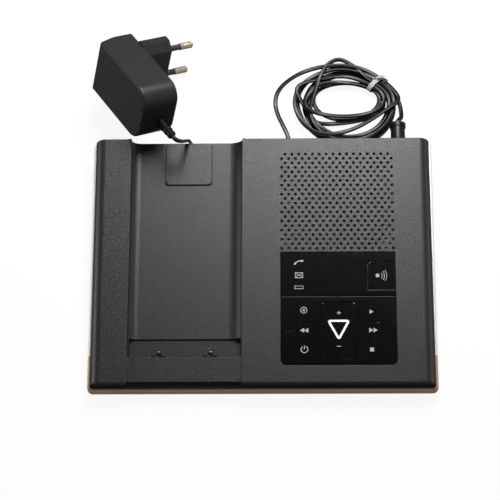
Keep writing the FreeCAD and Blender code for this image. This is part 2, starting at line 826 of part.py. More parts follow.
# Tongue at the back of the trough
tab = slab("handset_rest_tab", box_outline(TAB_X, TAB_Y), ("0", "0", "-trough_depth-tab_recess"),
           "tab_thickness", slope_frame)
soften(tab, "tab_corners", "tab_corner", lambda a, b: upright(a, b) and a.y < number("tab_front+1"))
keep(tab, "handset_rest_tab")

# Contact carrier in the pocket: a plate with two guards and a middle rib
CARRIER_X = (f"{POCKET_X[0]}+seam", f"{POCKET_X[1]}-seam")
CARRIER_TOP = f"({POCKET_FLOOR}-carrier_thickness)"
carrier_plate = slab(
    "carrier_plate", box_outline(CARRIER_X, ("lip_back+seam", "pocket_back-seam")),
    ("0", "0", f"-{POCKET_FLOOR}"), "carrier_thickness", slope_frame,
)
soften(carrier_plate, "carrier_corners", "tab_corner",
       lambda a, b: upright(a, b) and a.y > number("pocket_back-1"))
guard_blocks = [
    block(f"guard_{side}", (f"{centre}-guard_width/2", f"{centre}+guard_width/2"), GUARD_Y,
          (f"-{CARRIER_TOP}-overlap", f"guard_height-{CARRIER_TOP}"), slope_frame)
    for side, centre in GUARDS.items()
]
MIDDLE = "((left_guard+right_guard)/2)"
middle_rib = block("middle_rib", (f"{MIDDLE}-guard_width/2", f"{MIDDLE}+guard_width/2"), GUARD_Y,
                   (f"-{CARRIER_TOP}-overlap", f"rib_height-{CARRIER_TOP}"), slope_frame)
carrier_slots = [
    contact_slot(f"carrier_slot_{side}", centre, "seam", f"-{POCKET_FLOOR}-overrun", "0")
    for side, centre in GUARDS.items()
]
front_notches = [
    block(f"front_notch_{side}", (f"{centre}-contact_width/2-seam", f"{centre}+contact_width/2+seam"),
          ("guard_front-overrun", "guard_front+guard_length+overrun"),
          (f"notch_height-{CARRIER_TOP}", "0"), slope_frame)
    for side, centre in GUARDS.items()
]
keep(
    cut("contact_carrier", fuse("carrier_blank", carrier_plate, middle_rib, *guard_blocks),
        *carrier_slots, *front_notches),
    "contact_carrier",
)


def charge_contact(side, centre):
    """A sprung contact: a nose between its guards on a strip that goes down through the floor."""
    nose_level = f"(guard_height-{CARRIER_TOP}-contact_length/2-seam)"
    nose = rod(f"contact_nose_{side}", "contact_length/2",
               (f"{centre}-contact_width/2", "guard_front+guard_length/2", nose_level),
               "contact_width", slope_frame, "0;1;0", "90")
    strip = block(
        f"contact_strip_{side}", (f"{centre}-contact_width/2", f"{centre}+contact_width/2"),
        CONTACT_Y, (f"seam-{POCKET_FLOOR}-trough_wall", nose_level), slope_frame,
    )
    keep(fuse(f"charge_contact_{side}", nose, strip), f"charge_contact_{side}")


for side, centre in GUARDS.items():
    charge_contact(side, centre)

# Key panel: the window, four corner keys, the four-way key and the paging key
CAP_X = (f"{PANEL_X[0]}+panel_gap", f"{PANEL_X[1]}-panel_gap")
CAP_Y = (f"{PANEL_Y[0]}+panel_gap", f"{PANEL_Y[1]}-panel_gap")
CAP_BOTTOM = "(panel_sink+key_thickness)"
STEM_BOTTOM = "(key_board_top-switch_height-plunger_height-key_travel-key_room)"
CROSS_X = "(panel_left+panel_width/2)"
CROSS_Y = "(panel_front+cross_centre)"
cap_sheet = slab("cap_sheet", box_outline(CAP_X, CAP_Y), ("0", "0", f"-{CAP_BOTTOM}"),
                 "key_thickness", slope_frame)
soften(cap_sheet, "cap_corners", "panel_corner-panel_gap",
       lambda a, b: upright(a, b) and a.y < number("panel_front+1"))


def cross(name, grow, low, high):
    """The outline of the four-way key between two heights, grown by a gap."""
    arms = []
    for arm, width, length in (
        ("upright", "arm_width", "cross_length"), ("level", "cross_width", "arm_height")
    ):
        x = (f"{CROSS_X}-{width}/2-{grow}", f"{CROSS_X}+{width}/2+{grow}")
        y = (f"{CROSS_Y}-{length}/2-{grow}", f"{CROSS_Y}+{length}/2+{grow}")
        piece = slab(f"{name}_{arm}", box_outline(x, y), ("0", "0", low), span((low, high)), slope_frame)
        arms.append(soften(piece, f"{name}_{arm}_corners", f"cross_corner+{grow}", upright))
    return fuse(name, *arms)


def stem(name, at):
    """A square stem from a key down to its switch."""
    return block(f"{name}_stem", (f"{at[0]}-stem_width/2", f"{at[0]}+stem_width/2"),
                 (f"{at[1]}-stem_width/2", f"{at[1]}+stem_width/2"),
                 (f"-{STEM_BOTTOM}", f"overlap-{CAP_BOTTOM}"), slope_frame)


LEFT, RIGHT = "(panel_left+key_inset)", f"({PANEL_X[1]}-key_inset)"
LOWER, UPPER = f"({CROSS_Y}-cross_centre+key_offset)", f"({KEYS_TOP}-key_offset)"
cross_space = cross("cross_space", "panel_gap", f"-{CAP_BOTTOM}-overrun", "overrun")
KEY_ZONE_Z = (f"-{CAP_BOTTOM}-overrun", "overrun")
CORNER_KEYS = {
    "delete_key": ((CAP_X[0], f"{CROSS_X}-panel_gap/2"),
                   (f"{CROSS_Y}+panel_gap/2", f"{KEYS_TOP}-panel_gap/2"), (LEFT, UPPER)),
    "play_key": ((f"{CROSS_X}+panel_gap/2", CAP_X[1]),
                 (f"{CROSS_Y}+panel_gap/2", f"{KEYS_TOP}-panel_gap/2"), (RIGHT, UPPER)),
    "power_key": ((CAP_X[0], f"{CROSS_X}-panel_gap/2"), (CAP_Y[0], f"{CROSS_Y}-panel_gap/2"),
                  (LEFT, LOWER)),
    "stop_key": ((f"{CROSS_X}+panel_gap/2", CAP_X[1]), (CAP_Y[0], f"{CROSS_Y}-panel_gap/2"),
                 (RIGHT, LOWER)),
}
for name, (x, y, at) in CORNER_KEYS.items():
    quarter = common(f"{name}_quarter", cap_sheet, block(f"{name}_zone", x, y, KEY_ZONE_Z, slope_frame))
    cap = cut(f"{name}_cap", quarter, cross_space)
    keep(fuse(name, cap, stem(name, at)), name)

paging_cap = slab("paging_cap", box_outline(PAGING_X, PAGING_Y), ("0", "0", f"-{CAP_BOTTOM}"),
                  "key_thickness", slope_frame)
soften(paging_cap, "paging_corners", "paging_corner",
       lambda a, b: upright(a, b) and a.x < number(f"{PAGING_X[0]}+1"))
keep(fuse("paging_key", paging_cap, stem("paging_key", PAGING_STEM)), "paging_key")

window_sheet = block("window_sheet", CAP_X, (f"{KEYS_TOP}+panel_gap/2", CAP_Y[1]),
                     ("-panel_recess", "-panel_sink"), slope_frame)
paging_space = block(
    "paging_space", (f"{PAGING_X[0]}-panel_gap", f"{PANEL_X[1]}+overrun"),
    (f"{PAGING_Y[0]}-panel_gap", f"{PAGING_Y[1]}+panel_gap"), ("-panel_recess-overrun", "overrun"),
    slope_frame,
)
keep(cut("display_window", window_sheet, paging_space), "display_window")

nav_cap = cross("nav_cap", "0", f"-{CAP_BOTTOM}", "arm_rise-panel_sink")


def triangle(name, inset, low, height):
    """A triangle that points to the front, drawn in on all sides by an inset."""
    side = "sqrt((ring_width/2)^2+ring_length^2)"
    inner = f"(ring_width*ring_length/(ring_width+2*{side}))"
    scale = f"(1-({inset})/{inner})"
    middle = f"({CROSS_Y}+ring_length/2-{inner})"
    corners = [
        (f"{CROSS_X}-ring_width/2*{scale}", f"{middle}+{inner}*{scale}"),
        (CROSS_X, f"{middle}+({inner}-ring_length)*{scale}"),
        (f"{CROSS_X}+ring_width/2*{scale}", f"{middle}+{inner}*{scale}"),
    ]
    return slab(name, corners, ("0", "0", low), height, slope_frame)


RING_LOW = "(arm_rise-panel_sink-ring_depth)"
ring_outline = triangle("ring_outline", "0", RING_LOW, "ring_depth")
soften(ring_outline, "ring_corners", "ring_stroke", upright)
ring_middle = triangle("ring_middle", "ring_stroke", RING_LOW, "ring_depth")
soften(ring_middle, "ring_middle_corners", "ring_stroke/3", upright)
light_ring = keep(cut("nav_light_ring", ring_outline, ring_middle), "nav_light_ring")
keep(cut("nav_key", nav_cap, light_ring), "nav_key")
GIMBAL_TOP = f"({CAP_BOTTOM}+panel_gap)"
keep(rod("nav_gimbal", "gimbal_radius", (CROSS_X, CROSS_Y, f"-{GIMBAL_TOP}-gimbal_thickness"),
         "gimbal_thickness", slope_frame), "nav_gimbal")
keep(rod("nav_post", "gimbal_radius/2", (CROSS_X, CROSS_Y, "-key_board_top"),
         f"key_board_top-{GIMBAL_TOP}-gimbal_thickness-panel_gap", slope_frame), "nav_post")

# Key board with its switches, lamps and light guide
key_board = block("key_board", TUB_X, TUB_Y, ("-key_board_top-board_thickness", "-key_board_top"),
                  slope_frame)
keep(key_board, "key_board")
SWITCHES = {name.split("_")[0]: at for name, (_, _, at) in CORNER_KEYS.items()}
SWITCHES["paging"] = PAGING_STEM
for name, at in SWITCHES.items():
    body = block(f"{name}_switch_body", (f"{at[0]}-switch_size/2", f"{at[0]}+switch_size/2"),
                 (f"{at[1]}-switch_size/2", f"{at[1]}+switch_size/2"),
                 ("-key_board_top", "switch_height-key_board_top"), slope_frame)
    plunger = rod(f"{name}_plunger", "plunger_radius", (*at, "switch_height-key_board_top-overlap"),
                  "plunger_height+overlap", slope_frame)
    keep(fuse(f"switch_{name}", body, plunger), f"switch_{name}")

LAMPS = {"status": "-1", "message": "0", "phone": "1"}
LAMP_X = f"(({LIGHT_X[0]}+{LIGHT_X[1]})/2)"
LAMP_Y = f"(({LIGHT_Y[0]}+{LIGHT_Y[1]})/2)"
for name, step in LAMPS.items():
    y = f"({LAMP_Y}+{step}*lamp_spacing)"
    keep(block(f"lamp_{name}", (f"{LAMP_X}-lamp_size/2", f"{LAMP_X}+lamp_size/2"),
               (f"{y}-lamp_size/2", f"{y}+lamp_size/2"),
               ("-key_board_top", "lamp_height-key_board_top"), slope_frame), f"lamp_{name}")
GUIDE_LOW = "(lamp_height+lamp_room-key_board_top)"
guide_plate = block("guide_plate", LIGHT_X, LIGHT_Y, (GUIDE_LOW, "-panel_recess"), slope_frame)
guide_legs = [
    block(f"guide_leg_{index}", (x, f"{x}+guide_leg"), LIGHT_Y,
          ("-key_board_top", f"{GUIDE_LOW}+overlap"), slope_frame)
    for index, x in enumerate((LIGHT_X[0], f"{LIGHT_X[1]}-guide_leg"))
]
keep(fuse("light_guide", guide_plate, *guide_legs), "light_guide")

# Main board, its shield and its antennas
main_board = block("main_board", ("main_board_left", "main_board_right"),
                   ("main_board_front", "main_board_back"), (BOARD_BOTTOM, BOARD_TOP))
keep(main_board, "main_board")
SHIELD_X = ("main_board_left+shield_left", "main_board_left+shield_left+shield_width")
SHIELD_Y = ("main_board_front+shield_front", "main_board_front+shield_front+shield_length")
keep(block("radio_shield", SHIELD_X, SHIELD_Y, (BOARD_TOP, f"{BOARD_TOP}+shield_height")), "radio_shield")
ANTENNA_Y = ("main_board_back-antenna_back", "main_board_back-antenna_back+antenna_sheet")
ANTENNA_TOP = f"({BOARD_TOP}+antenna_height)"
for side in ("left", "right"):
    x = f"(main_board_left+antenna_{side})"
    leg = block(f"antenna_leg_{side}", (x, f"{x}+antenna_width"), ANTENNA_Y, (BOARD_TOP, ANTENNA_TOP))
    arm = block(f"antenna_arm_{side}", (x, f"{x}+antenna_length"), ANTENNA_Y,
                (f"{ANTENNA_TOP}-antenna_width", ANTENNA_TOP))
    keep(fuse(f"antenna_{side}", leg, arm), f"antenna_{side}")

# Loudspeaker under the grille
GASKET_LOW = "(housing_wall+gasket_thickness)"
gasket_disc = rod("gasket_disc", "speaker_radius", (*SPEAKER_AT, f"-{GASKET_LOW}"),
                  "gasket_thickness", slope_frame)
gasket_hole = rod("gasket_hole", "speaker_radius-seal_width", (*SPEAKER_AT, f"-{GASKET_LOW}-overrun"),
                  "gasket_thickness+2*overrun", slope_frame)
keep(cut("speaker_gasket", gasket_disc, gasket_hole), "speaker_gasket")
BASKET_LOW = f"({GASKET_LOW}+speaker_rim+basket_depth)"
BASKET_FLOOR = "(basket_sheet-speaker_rim-basket_depth)"
frame_form = turned(
    "speaker_frame",
    [("0", "-speaker_rim-basket_depth"), ("basket_base", "-speaker_rim-basket_depth"),
     ("speaker_radius-speaker_rim", "-speaker_rim"), ("speaker_radius", "-speaker_rim"),
     ("speaker_radius", "0"), ("speaker_radius-roll_width", "0"),
     ("speaker_radius-roll_width", "-basket_sheet"), ("basket_base-basket_sheet", BASKET_FLOOR),
     ("0", BASKET_FLOOR)],
    (*SPEAKER_AT, f"-{GASKET_LOW}"), slope_frame, **FORWARD,
)
keep(frame_form, "speaker_frame")
CONE_LOW = f"({BASKET_FLOOR}+3*cone_travel)"
cone_form = turned(
    "speaker_cone",
    [("0", CONE_LOW), ("dome_radius", CONE_LOW), ("cone_radius", "-cone_travel-cone_sheet"),
     ("cone_radius", "-cone_travel"), ("dome_radius", f"{CONE_LOW}+cone_sheet"),
     ("0", f"{CONE_LOW}+cone_sheet")],
    (*SPEAKER_AT, f"-{GASKET_LOW}"), slope_frame, **FORWARD,
)
keep(cone_form, "speaker_cone")
keep(rod("speaker_magnet", "magnet_radius", (*SPEAKER_AT, f"-{BASKET_LOW}-magnet_height"),
         "magnet_height", slope_frame), "speaker_magnet")

# Sockets behind the back wall
line_body = block("line_body", LINE_X, (f"{WALL_INSIDE}-socket_depth", WALL_INSIDE),
                  (BOARD_TOP, f"{BOARD_TOP}+line_height"))
line_hollow = block("line_hollow", MOUTH_X, (f"{WALL_INSIDE}-mouth_depth", f"{BACK_LINE}+overrun"), MOUTH_Z)
keep(cut("line_jack", line_body, line_hollow), "line_jack")
power_body = block("power_body", POWER_X, (f"{WALL_INSIDE}-socket_depth", WALL_INSIDE),
                   (PLATE_TOP, "power_height+power_width/2"))
power_nose = rod("power_nose_rod", "power_nose",
                 (POWER_CENTRE, f"{WALL_INSIDE}-overlap", "power_height"),
                 "case_wall+overlap-seam", None, **BACKWARD)
SOCKET_END = f"({WALL_INSIDE}-socket_depth+socket_floor)"
power_hollow = rod("power_hollow", "power_bore", (POWER_CENTRE, SOCKET_END, "power_height"),
                   "socket_depth+case_wall", None, **BACKWARD)
keep(cut("dc_jack", fuse("power_blank", power_body, power_nose), power_hollow), "dc_jack")
keep(rod("dc_pin", "power_pin", (POWER_CENTRE, SOCKET_END, "power_height"),
         "socket_depth-socket_floor", None, **BACKWARD), "dc_pin")

# Plug-in adaptor, in its own frame: x towards the lead, y across the pins, z along them
ADAPTOR_X = ("-adaptor_far", "adaptor_length-adaptor_far")
ADAPTOR_Y = ("-adaptor_width/2", "adaptor_width/2")


def adaptor_half(name, low, height, outer_face):
    """One half of the adaptor's shell, with its outer edge rounded."""
    half = slab(name, box_outline(ADAPTOR_X, ADAPTOR_Y), ("0", "0", low), height, adaptor_frame)
    soften(half, f"{name}_lead_end", "adaptor_round", lambda a, b: upright(a, b) and a.x > 0)
    soften(half, f"{name}_far_end", "adaptor_corner",
           lambda a, b: upright(a, b) and a.x < 0)
    face = 0 if outer_face == "low" else number(height)
    soften(half, f"{name}_edge", "adaptor_edge",
           lambda a, b: abs(a.z - face) < 1e-6 and abs(b.z - face) < 1e-6)
    return half


cap_half = adaptor_half("cap_half", "-adaptor_depth", "adaptor_depth-adaptor_split", "low")
slant = slab(
    "slant",
    [("-adaptor_far-overrun", "-adaptor_split"), ("-adaptor_far", "-adaptor_split"),
     ("adaptor_taper-adaptor_far", "-adaptor_depth"),
     ("adaptor_taper-adaptor_far", "-adaptor_depth-overrun"),
     ("-adaptor_far-overrun", "-adaptor_depth-overrun")],
    ("0", "adaptor_width", "0"), "2*adaptor_width", adaptor_frame, **FORWARD,
)
keep(cut("adaptor_cap", cap_half, slant), "adaptor_cap")
shell_half = adaptor_half("shell_half", "-adaptor_split", "adaptor_split", "high")
neck = slab(
    "neck",
    [("neck_end/2", "neck_width/2"), ("-neck_end/2", "neck_width/2"), ("-neck_height/2", "neck_flat/2"),
     ("-neck_height/2", "-neck_flat/2"), ("-neck_end/2", "-neck_width/2"),
     ("neck_end/2", "-neck_width/2"), ("neck_height/2", "-neck_flat/2"),
     ("neck_height/2", "neck_flat/2")],
    ("0", "0", "-overlap"), "neck_length+overlap", adaptor_frame,
)
PIN_Y = ("-pin_spacing/2", "pin_spacing/2")
pin_seats = [
    rod(f"pin_seat_{index}", "pin_core", ("0", y, "neck_length-pin_seat"), "pin_seat+overrun",
        adaptor_frame)
    for index, y in enumerate(PIN_Y, start=1)
]
keep(cut("adaptor_shell", fuse("shell_blank", shell_half, neck), *pin_seats), "adaptor_shell")
for index, y in enumerate(PIN_Y, start=1):
    core = rod(f"pin_core_{index}", "pin_core", ("0", y, "neck_length-pin_seat"),
               "pin_seat+sleeve_length+overlap", adaptor_frame)
    bare = rod(f"pin_bare_{index}", "pin_radius", ("0", y, "neck_length+sleeve_length"),
               "pin_length-sleeve_length-pin_radius/2", adaptor_frame)
    tip = taper(f"pin_tip_{index}", ("pin_radius", "pin_radius/2"),
                ("0", y, "neck_length+pin_length-pin_radius/2"), "pin_radius/2", adaptor_frame)
    keep(fuse(f"plug_pin_{index}", core, bare, tip), f"plug_pin_{index}")
    outside = rod(f"sleeve_outside_{index}", "pin_radius-sleeve_step", ("0", y, "neck_length"),
                  "sleeve_length", adaptor_frame)
    inside = rod(f"sleeve_inside_{index}", "pin_core", ("0", y, "neck_length-overrun"),
                 "sleeve_length+2*overrun", adaptor_frame)
    keep(cut(f"pin_sleeve_{index}", outside, inside), f"pin_sleeve_{index}")

TOWARD_LEAD = {"axis": "0;1;0", "turn": "90"}
RELIEF_FOOT = ADAPTOR_X[1]
relief_core = taper("relief_core", ("relief_radius", "relief_tip"),
                    (RELIEF_FOOT, "relief_across", "-relief_down"), "relief_length", adaptor_frame,
                    **TOWARD_LEAD)


def relief_rings():
    """Rings round the strain relief, evenly spaced and smaller towards its tip."""
    rings = []
    count = int(number("relief_rings"))
    for index in range(count):
        share = f"({index}+0.5)/relief_rings"
        rings.append(
            rod(f"relief_ring_{index + 1}", f"ring_radius-{share}*(relief_radius-relief_tip)",
                (f"{RELIEF_FOOT}+{share}*relief_length-ring_thickness/2", "relief_across",
                 "-relief_down"), "ring_thickness", adaptor_frame, **TOWARD_LEAD)
        )
    return rings


keep(fuse("adaptor_relief", relief_core, *relief_rings()), "adaptor_relief")

# Power plug in its socket, with a ridge before the lead
PLUG_START = f"({BACK_LINE}+seam)"
PLUG_END = f"({PLUG_START}+plug_length+plug_ridge_length+plug_tail)"
plug_body = rod("plug_body", "plug_radius", (POWER_CENTRE, PLUG_START, "power_height"),
                "plug_length", None, **BACKWARD)
plug_collar = rod("plug_collar", "plug_radius+plug_ridge",
                  (POWER_CENTRE, f"{PLUG_START}+plug_length", "power_height"), "plug_ridge_length",
                  None, **BACKWARD)
plug_tail = taper("plug_tail_cone", ("plug_radius", "cord_width/2+plug_tail_rim"),
                  (POWER_CENTRE, f"{PLUG_START}+plug_length+plug_ridge_length", "power_height"),
                  "plug_tail", None, **BACKWARD)
keep(fuse("dc_plug", plug_body, plug_collar, plug_tail), "dc_plug")
barrel_outside = rod("barrel_outside", "barrel_radius",
                     (POWER_CENTRE, f"{PLUG_START}-barrel_length", "power_height"), "barrel_length",
                     None, **BACKWARD)
barrel_inside = rod("barrel_inside", "barrel_bore",
                    (POWER_CENTRE, f"{PLUG_START}-barrel_length-overrun", "power_height"),
                    "barrel_length+overlap", None, **BACKWARD)
keep(cut("dc_barrel", barrel_outside, barrel_inside), "dc_barrel")


# Lead: a loose stretch, a tied coil and a tail to the plug
def section(centre, heading):
    """The many-sided outline of the lead, square to its heading."""
    sides = int(number("cord_sides"))
    radius = number("cord_width/2")
    across = heading.cross(Vector(0, 0, 1)).normalize()
    up = across.cross(heading).normalize()
    turns = [2 * math.pi * (side + 0.5) / sides for side in range(sides)]
    ring = [centre + across * (radius * math.cos(t)) + up * (radius * math.sin(t)) for t in turns]
    return Part.makePolygon(ring + ring[:1])


def piped(edges, heading):
    """The lead's section drawn along a path of lines and arcs."""
    wire = Part.Wire(edges)
    first = edges[0].valueAt(edges[0].FirstParameter)
    return wire.makePipeShell([section(first, heading)], True, False)


def rounded_path(points):
    """Straight runs through the points, joined by the largest arcs that 0.45 of a run allows."""
    edges, radii = [], []
    last = points[0]
    for before, here, after in zip(points, points[1:], points[2:]):
        one, two = (before - here), (after - here)
        reach = 0.45 * min(one.Length, two.Length)
        one.normalize()
        two.normalize()
        half_turn = (math.pi - one.getAngle(two)) / 2
        radius = reach / math.tan(half_turn)
        start, end = here + one * reach, here + two * reach
        inward = (one + two).normalize()
        middle = here + inward * (math.hypot(radius, reach) - radius)
        edges.append(Part.LineSegment(last, start).toShape())
        edges.append(Part.Arc(start, middle, end).toShape())
        radii.append(radius)
        last = end
    edges.append(Part.LineSegment(last, points[-1]).toShape())
    return edges, radii


def loose_lead(name, edges, radii, heading):
    """A free stretch of the lead as a tube."""
    feature = doc.addObject("Part::Feature", name)
    feature.Shape = piped(edges, heading)
    length = sum(edge.Length for edge in edges)
    sides, radius = int(number("cord_sides")), number("cord_width/2")
    area = 0.5 * sides * radius**2 * math.sin(2 * math.pi / sides)
    share = feature.Shape.Volume / (area * length)
    print(name, "length", round(length, 1), "volume share", round(share, 4))
    print(name, "radii", [round(value, 1) for value in radii])
    return feature, length


def biarc(start, heading, end, heading_after):
    """Two arcs that leave a point along one heading and reach another point along another."""
    joint = (start + end) / 2
    bend = 2 * (1 - heading.dot(heading_after))
    if bend > 1e-9:
        way = end - start
        along = way.dot(heading + heading_after)
        reach = (-along + math.sqrt(along**2 + bend * way.dot(way))) / bend
        joint += (heading - heading_after) * (reach / 2)
    return [arc_from(start, heading, joint), arc_from(end, heading_after * -1, joint)]


def arc_from(start, heading, end):
    """The arc that leaves a point along a heading and passes through another point."""
    chord = end - start
    across = chord - heading * chord.dot(heading)
    across.normalize()
    radius = chord.dot(chord) / (2 * chord.dot(across))
    centre = start + across * radius
    outward = ((start + end) / 2 - centre).normalize()
    return Part.Arc(start, centre + outward * radius, end).toShape()


COIL_LOW = "(tie_thickness+tie_slack+cord_width/2)"


def coil_stations():
    """Where the coil passes each quarter turn, and how it heads there. It starts at the side
    in the upper layer, winds inward, climbs down through a half turn and winds outward."""
    quarters = int(number("coil_quarters"))
    pitch, rise = number("coil_pitch"), number("coil_rise")
    low = number(COIL_LOW)
    middle = Vector(number("coil_x"), number("coil_y"), 0)
    stations = []

    def station(quarter, grow, height, dip):
        wide, deep = number("coil_inner_x") + grow, number("coil_inner_y") + grow
        turn = -math.pi / 2 * quarter
        at = Vector(wide * round(math.cos(turn)), deep * round(math.sin(turn)), height)
        heading = Vector(round(math.sin(turn)), -round(math.cos(turn)), -dip).normalize()
        stations.append((middle + at, heading))

    for step in range(quarters + 1):
        station(step, pitch / 4 * (quarters - step), low + rise, 0)
    steep = rise / (math.pi * number("coil_inner_x+coil_inner_y") / 2)
    station(quarters + 1, -number("coil_tuck"), low + rise / 2, steep)
    for step in range(quarters + 1):
        station(quarters + 2 + step, pitch / 4 * step, low, 0)
    return stations


def self_gap(edges):
    """The least gap between turns of the coil, measured on points along its path."""
    points = []
    travelled = 0.0
    for edge in edges:
        for point in edge.discretize(12)[:-1]:
            points.append((travelled, point))
            travelled += edge.Length / 11
    least = min(
        (a - b).Length
        for index, (along, a) in enumerate(points)
        for further, b in points[index + 1:]
        if further - along > 30
    )
    return least - number("cord_width")


def wound_coil():
    """The tied coil as one unbroken tube."""
    stations = coil_stations()
    edges = []
    for (start, heading), (end, after) in zip(stations, stations[1:]):
        edges += biarc(start, heading, end, after)
    length = sum(edge.Length for edge in edges)
    radii = [edge.Curve.Radius for edge in edges]
    print("coil length", round(length, 1), "least radius", round(min(radii), 1),
          "least gap", round(self_gap(edges), 2))
    tail_length = number("cord_width")
    (first, heading), (last, after) = stations[0], stations[-1]
    lead_in = Part.LineSegment(first - heading * tail_length, first).toShape()
    lead_out = Part.LineSegment(last, last + after * tail_length).toShape()
    feature = doc.addObject("Part::Feature", "lead_coil")
    feature.Shape = piped([lead_in, *edges, lead_out], heading)
    ends = [(first - heading * tail_length, heading), (last + after * tail_length, after)]
    return feature, length + 2 * tail_length, ends


coil, coil_length, [(coil_start, coil_heading), (coil_end, _)] = wound_coil()
keep(coil, "lead_coil")


def relief_point(beyond):
    """A point on the line of the strain relief, some way past its tip."""
    at = Vector(number(f"{RELIEF_FOOT}+relief_length") + beyond, number("relief_across"),
                -number("relief_down"))
    return adaptor_frame.Placement.multVec(at)


lead_points = [
    relief_point(0),
    relief_point(6),
    Vector(-41.8, 64.0, 37.6),
    Vector(-40.0, 69.6, 30.2),
    Vector(-37.2, 76.6, 22.6),
    Vector(-33.0, 81.4, 14.2),
    Vector(-25.5, 84.6, 6.4),
    Vector(-13.5, 83.4, 1.8),
    Vector(-1.0, 81.2, 1.4),
    Vector(9.5, 83.4, 1.4),
    Vector(12.6, 92.0, 1.4),
    Vector(7.6, 101.0, 1.4),
    Vector(7.2, 112.0, 1.4),
    Vector(13.4, 123.4, 1.6),
    Vector(25.0, 131.6, 3.0),
    Vector(38.6, 137.6, 3.6),
    Vector(52.4, 138.2, 4.0),
    Vector(64.4, 133.4, 4.4),
    Vector(74.0, 126.4, 4.4),
    coil_start - coil_heading * 8,
    coil_start,
]
lead_edges, lead_radii = rounded_path(lead_points)
out_of_relief = (lead_points[1] - lead_points[0]).normalize()
loose, loose_length = loose_lead("lead_loose", lead_edges, lead_radii, out_of_relief)
keep(loose, "lead_loose")
plug_back = Vector(number(POWER_CENTRE), number(PLUG_END), number("power_height"))
tail_turn = coil_end + Vector(0.9, -5.6, 0.4)
plug_turn = plug_back + Vector(1.4, 5.2, -2.2)
out_of_coil = (tail_turn - coil_end).normalize()
into_plug = (plug_back - plug_turn).normalize()
tail_points = [coil_end + out_of_coil * 0.4, tail_turn, plug_turn, plug_back - into_plug * 0.5]
tail_edges, tail_radii = rounded_path(tail_points)
tail, tail_length = loose_lead("lead_tail", tail_edges, tail_radii, out_of_coil)
keep(tail, "lead_tail")
print("lead in all", round(loose_length + coil_length + tail_length, 1))


# Twist tie round the turns and the loose stretch: a band, a knot and two flat ends
tie_frame = doc.addObject("Part::Vertex", "tie_frame")
TIE_AT = ("coil_x+coil_inner_x*cos(tie_turn)", "coil_y+coil_inner_y*sin(tie_turn)", "0")
place(tie_frame, TIE_AT, None, "0;0;1", "tie_turn")
TIE_X = ("(-cord_width/2-2*tie_room)",
         "(coil_pitch*(coil_quarters+2)/4+cord_width/2+2*tie_room)")
TIE_TOP = f"({COIL_LOW}+coil_rise+cord_width/2+tie_room)"
band_outer = block("band_outer", (f"{TIE_X[0]}-tie_thickness", f"{TIE_X[1]}+tie_thickness"),
                   ("-tie_width/2", "tie_width/2"), ("0", f"{TIE_TOP}+tie_thickness"), tie_frame)
band_inner = block("band_inner", TIE_X, ("-tie_width", "tie_width"), ("tie_thickness", TIE_TOP),
                   tie_frame)
band = cut("band", band_outer, band_inner)
KNOT_AT = (f"{TIE_X[1]}-3*tie_knot", "0", f"{TIE_TOP}+tie_thickness+tie_knot-seam")
knot = rod("knot", "tie_knot", (KNOT_AT[0], "-tie_width/2", KNOT_AT[2]), "tie_width", tie_frame,
           **BACKWARD)
tie_ends = []
for name, turn in (("near", "-62"), ("far", "38")):
    end = doc.addObject("Part::Box", f"tie_end_{name}")
    bind(end, Length="tie_end", Width="tie_end_width", Height="tie_thickness")
    place(end, (KNOT_AT[0], "0", f"{KNOT_AT[2]}-tie_thickness/2"), tie_frame, "0;0;1", turn)
    tie_ends.append(end)
keep(fuse("twist_tie", band, knot, *tie_ends), "twist_tie")

doc.recompute()
failed = [o.Label for o in doc.Objects if {"Invalid", "Error"} & set(o.State)]
faulty = [p.Label for p in parts if p.Shape.isNull() or not p.Shape.isValid() or not p.Shape.Solids]
if failed or faulty:
    raise RuntimeError(f"failed: {failed} faulty: {faulty}")
os.makedirs("parts", exist_ok=True)
for part in parts:
    part.Shape.exportStep(f"parts/{part.Label}.step")
print(len(parts), "parts")
for part in parts:
    if len(part.Shape.Solids) != 1:
        print(part.Label, "has", len(part.Shape.Solids), "solids")
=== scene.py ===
# %% [markdown]
# # A telephone base with an answering machine
#
# The solids of the object come from its CAD model, already in place and in metres. This lesson
# gives them their finishes and adds what a CAD model leaves out: the supple lead, the twist tie,
# the printed signs, the marks on the adaptor, and a plain studio. We start by loading the model
# and by moving each solid's placement into its mesh.

import math

import bmesh
import bpy
from mathutils import Matrix, Vector


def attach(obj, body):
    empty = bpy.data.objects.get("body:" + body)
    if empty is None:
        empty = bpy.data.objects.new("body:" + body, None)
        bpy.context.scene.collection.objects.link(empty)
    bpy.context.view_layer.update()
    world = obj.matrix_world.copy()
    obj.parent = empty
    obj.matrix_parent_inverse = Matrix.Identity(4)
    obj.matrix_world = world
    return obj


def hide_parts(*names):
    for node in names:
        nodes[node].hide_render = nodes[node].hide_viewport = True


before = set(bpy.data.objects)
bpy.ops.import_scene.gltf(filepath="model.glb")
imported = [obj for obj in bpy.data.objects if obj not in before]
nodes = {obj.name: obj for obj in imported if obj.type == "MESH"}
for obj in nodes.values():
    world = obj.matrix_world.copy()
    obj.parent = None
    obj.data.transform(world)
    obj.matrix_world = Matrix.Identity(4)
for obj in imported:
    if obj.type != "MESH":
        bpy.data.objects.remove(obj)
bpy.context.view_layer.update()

# %% [markdown]
# ## The camera
#
# The photograph was taken from high in front, through a long lens. A camera can be set by an
# angle and a distance and then nudged, but here its place and its axes were worked out from
# points of known size, such as the corners of the base. So we write them down as they are. The
# lens is a focal length in pixels, turned into millimetres on a 36 mm sensor.

# %% Place the camera
PICTURE = 500
FOCAL_PIXELS = 1820.42
SENSOR = 36
eye = Vector((0.0112003, -0.3978473, 0.9683789))
right = Vector((0.999835, 0.002887, -0.017925)).normalized()
up = Vector((0.00436, 0.920231, 0.39135)).normalized()
behind = right.cross(up).normalized()

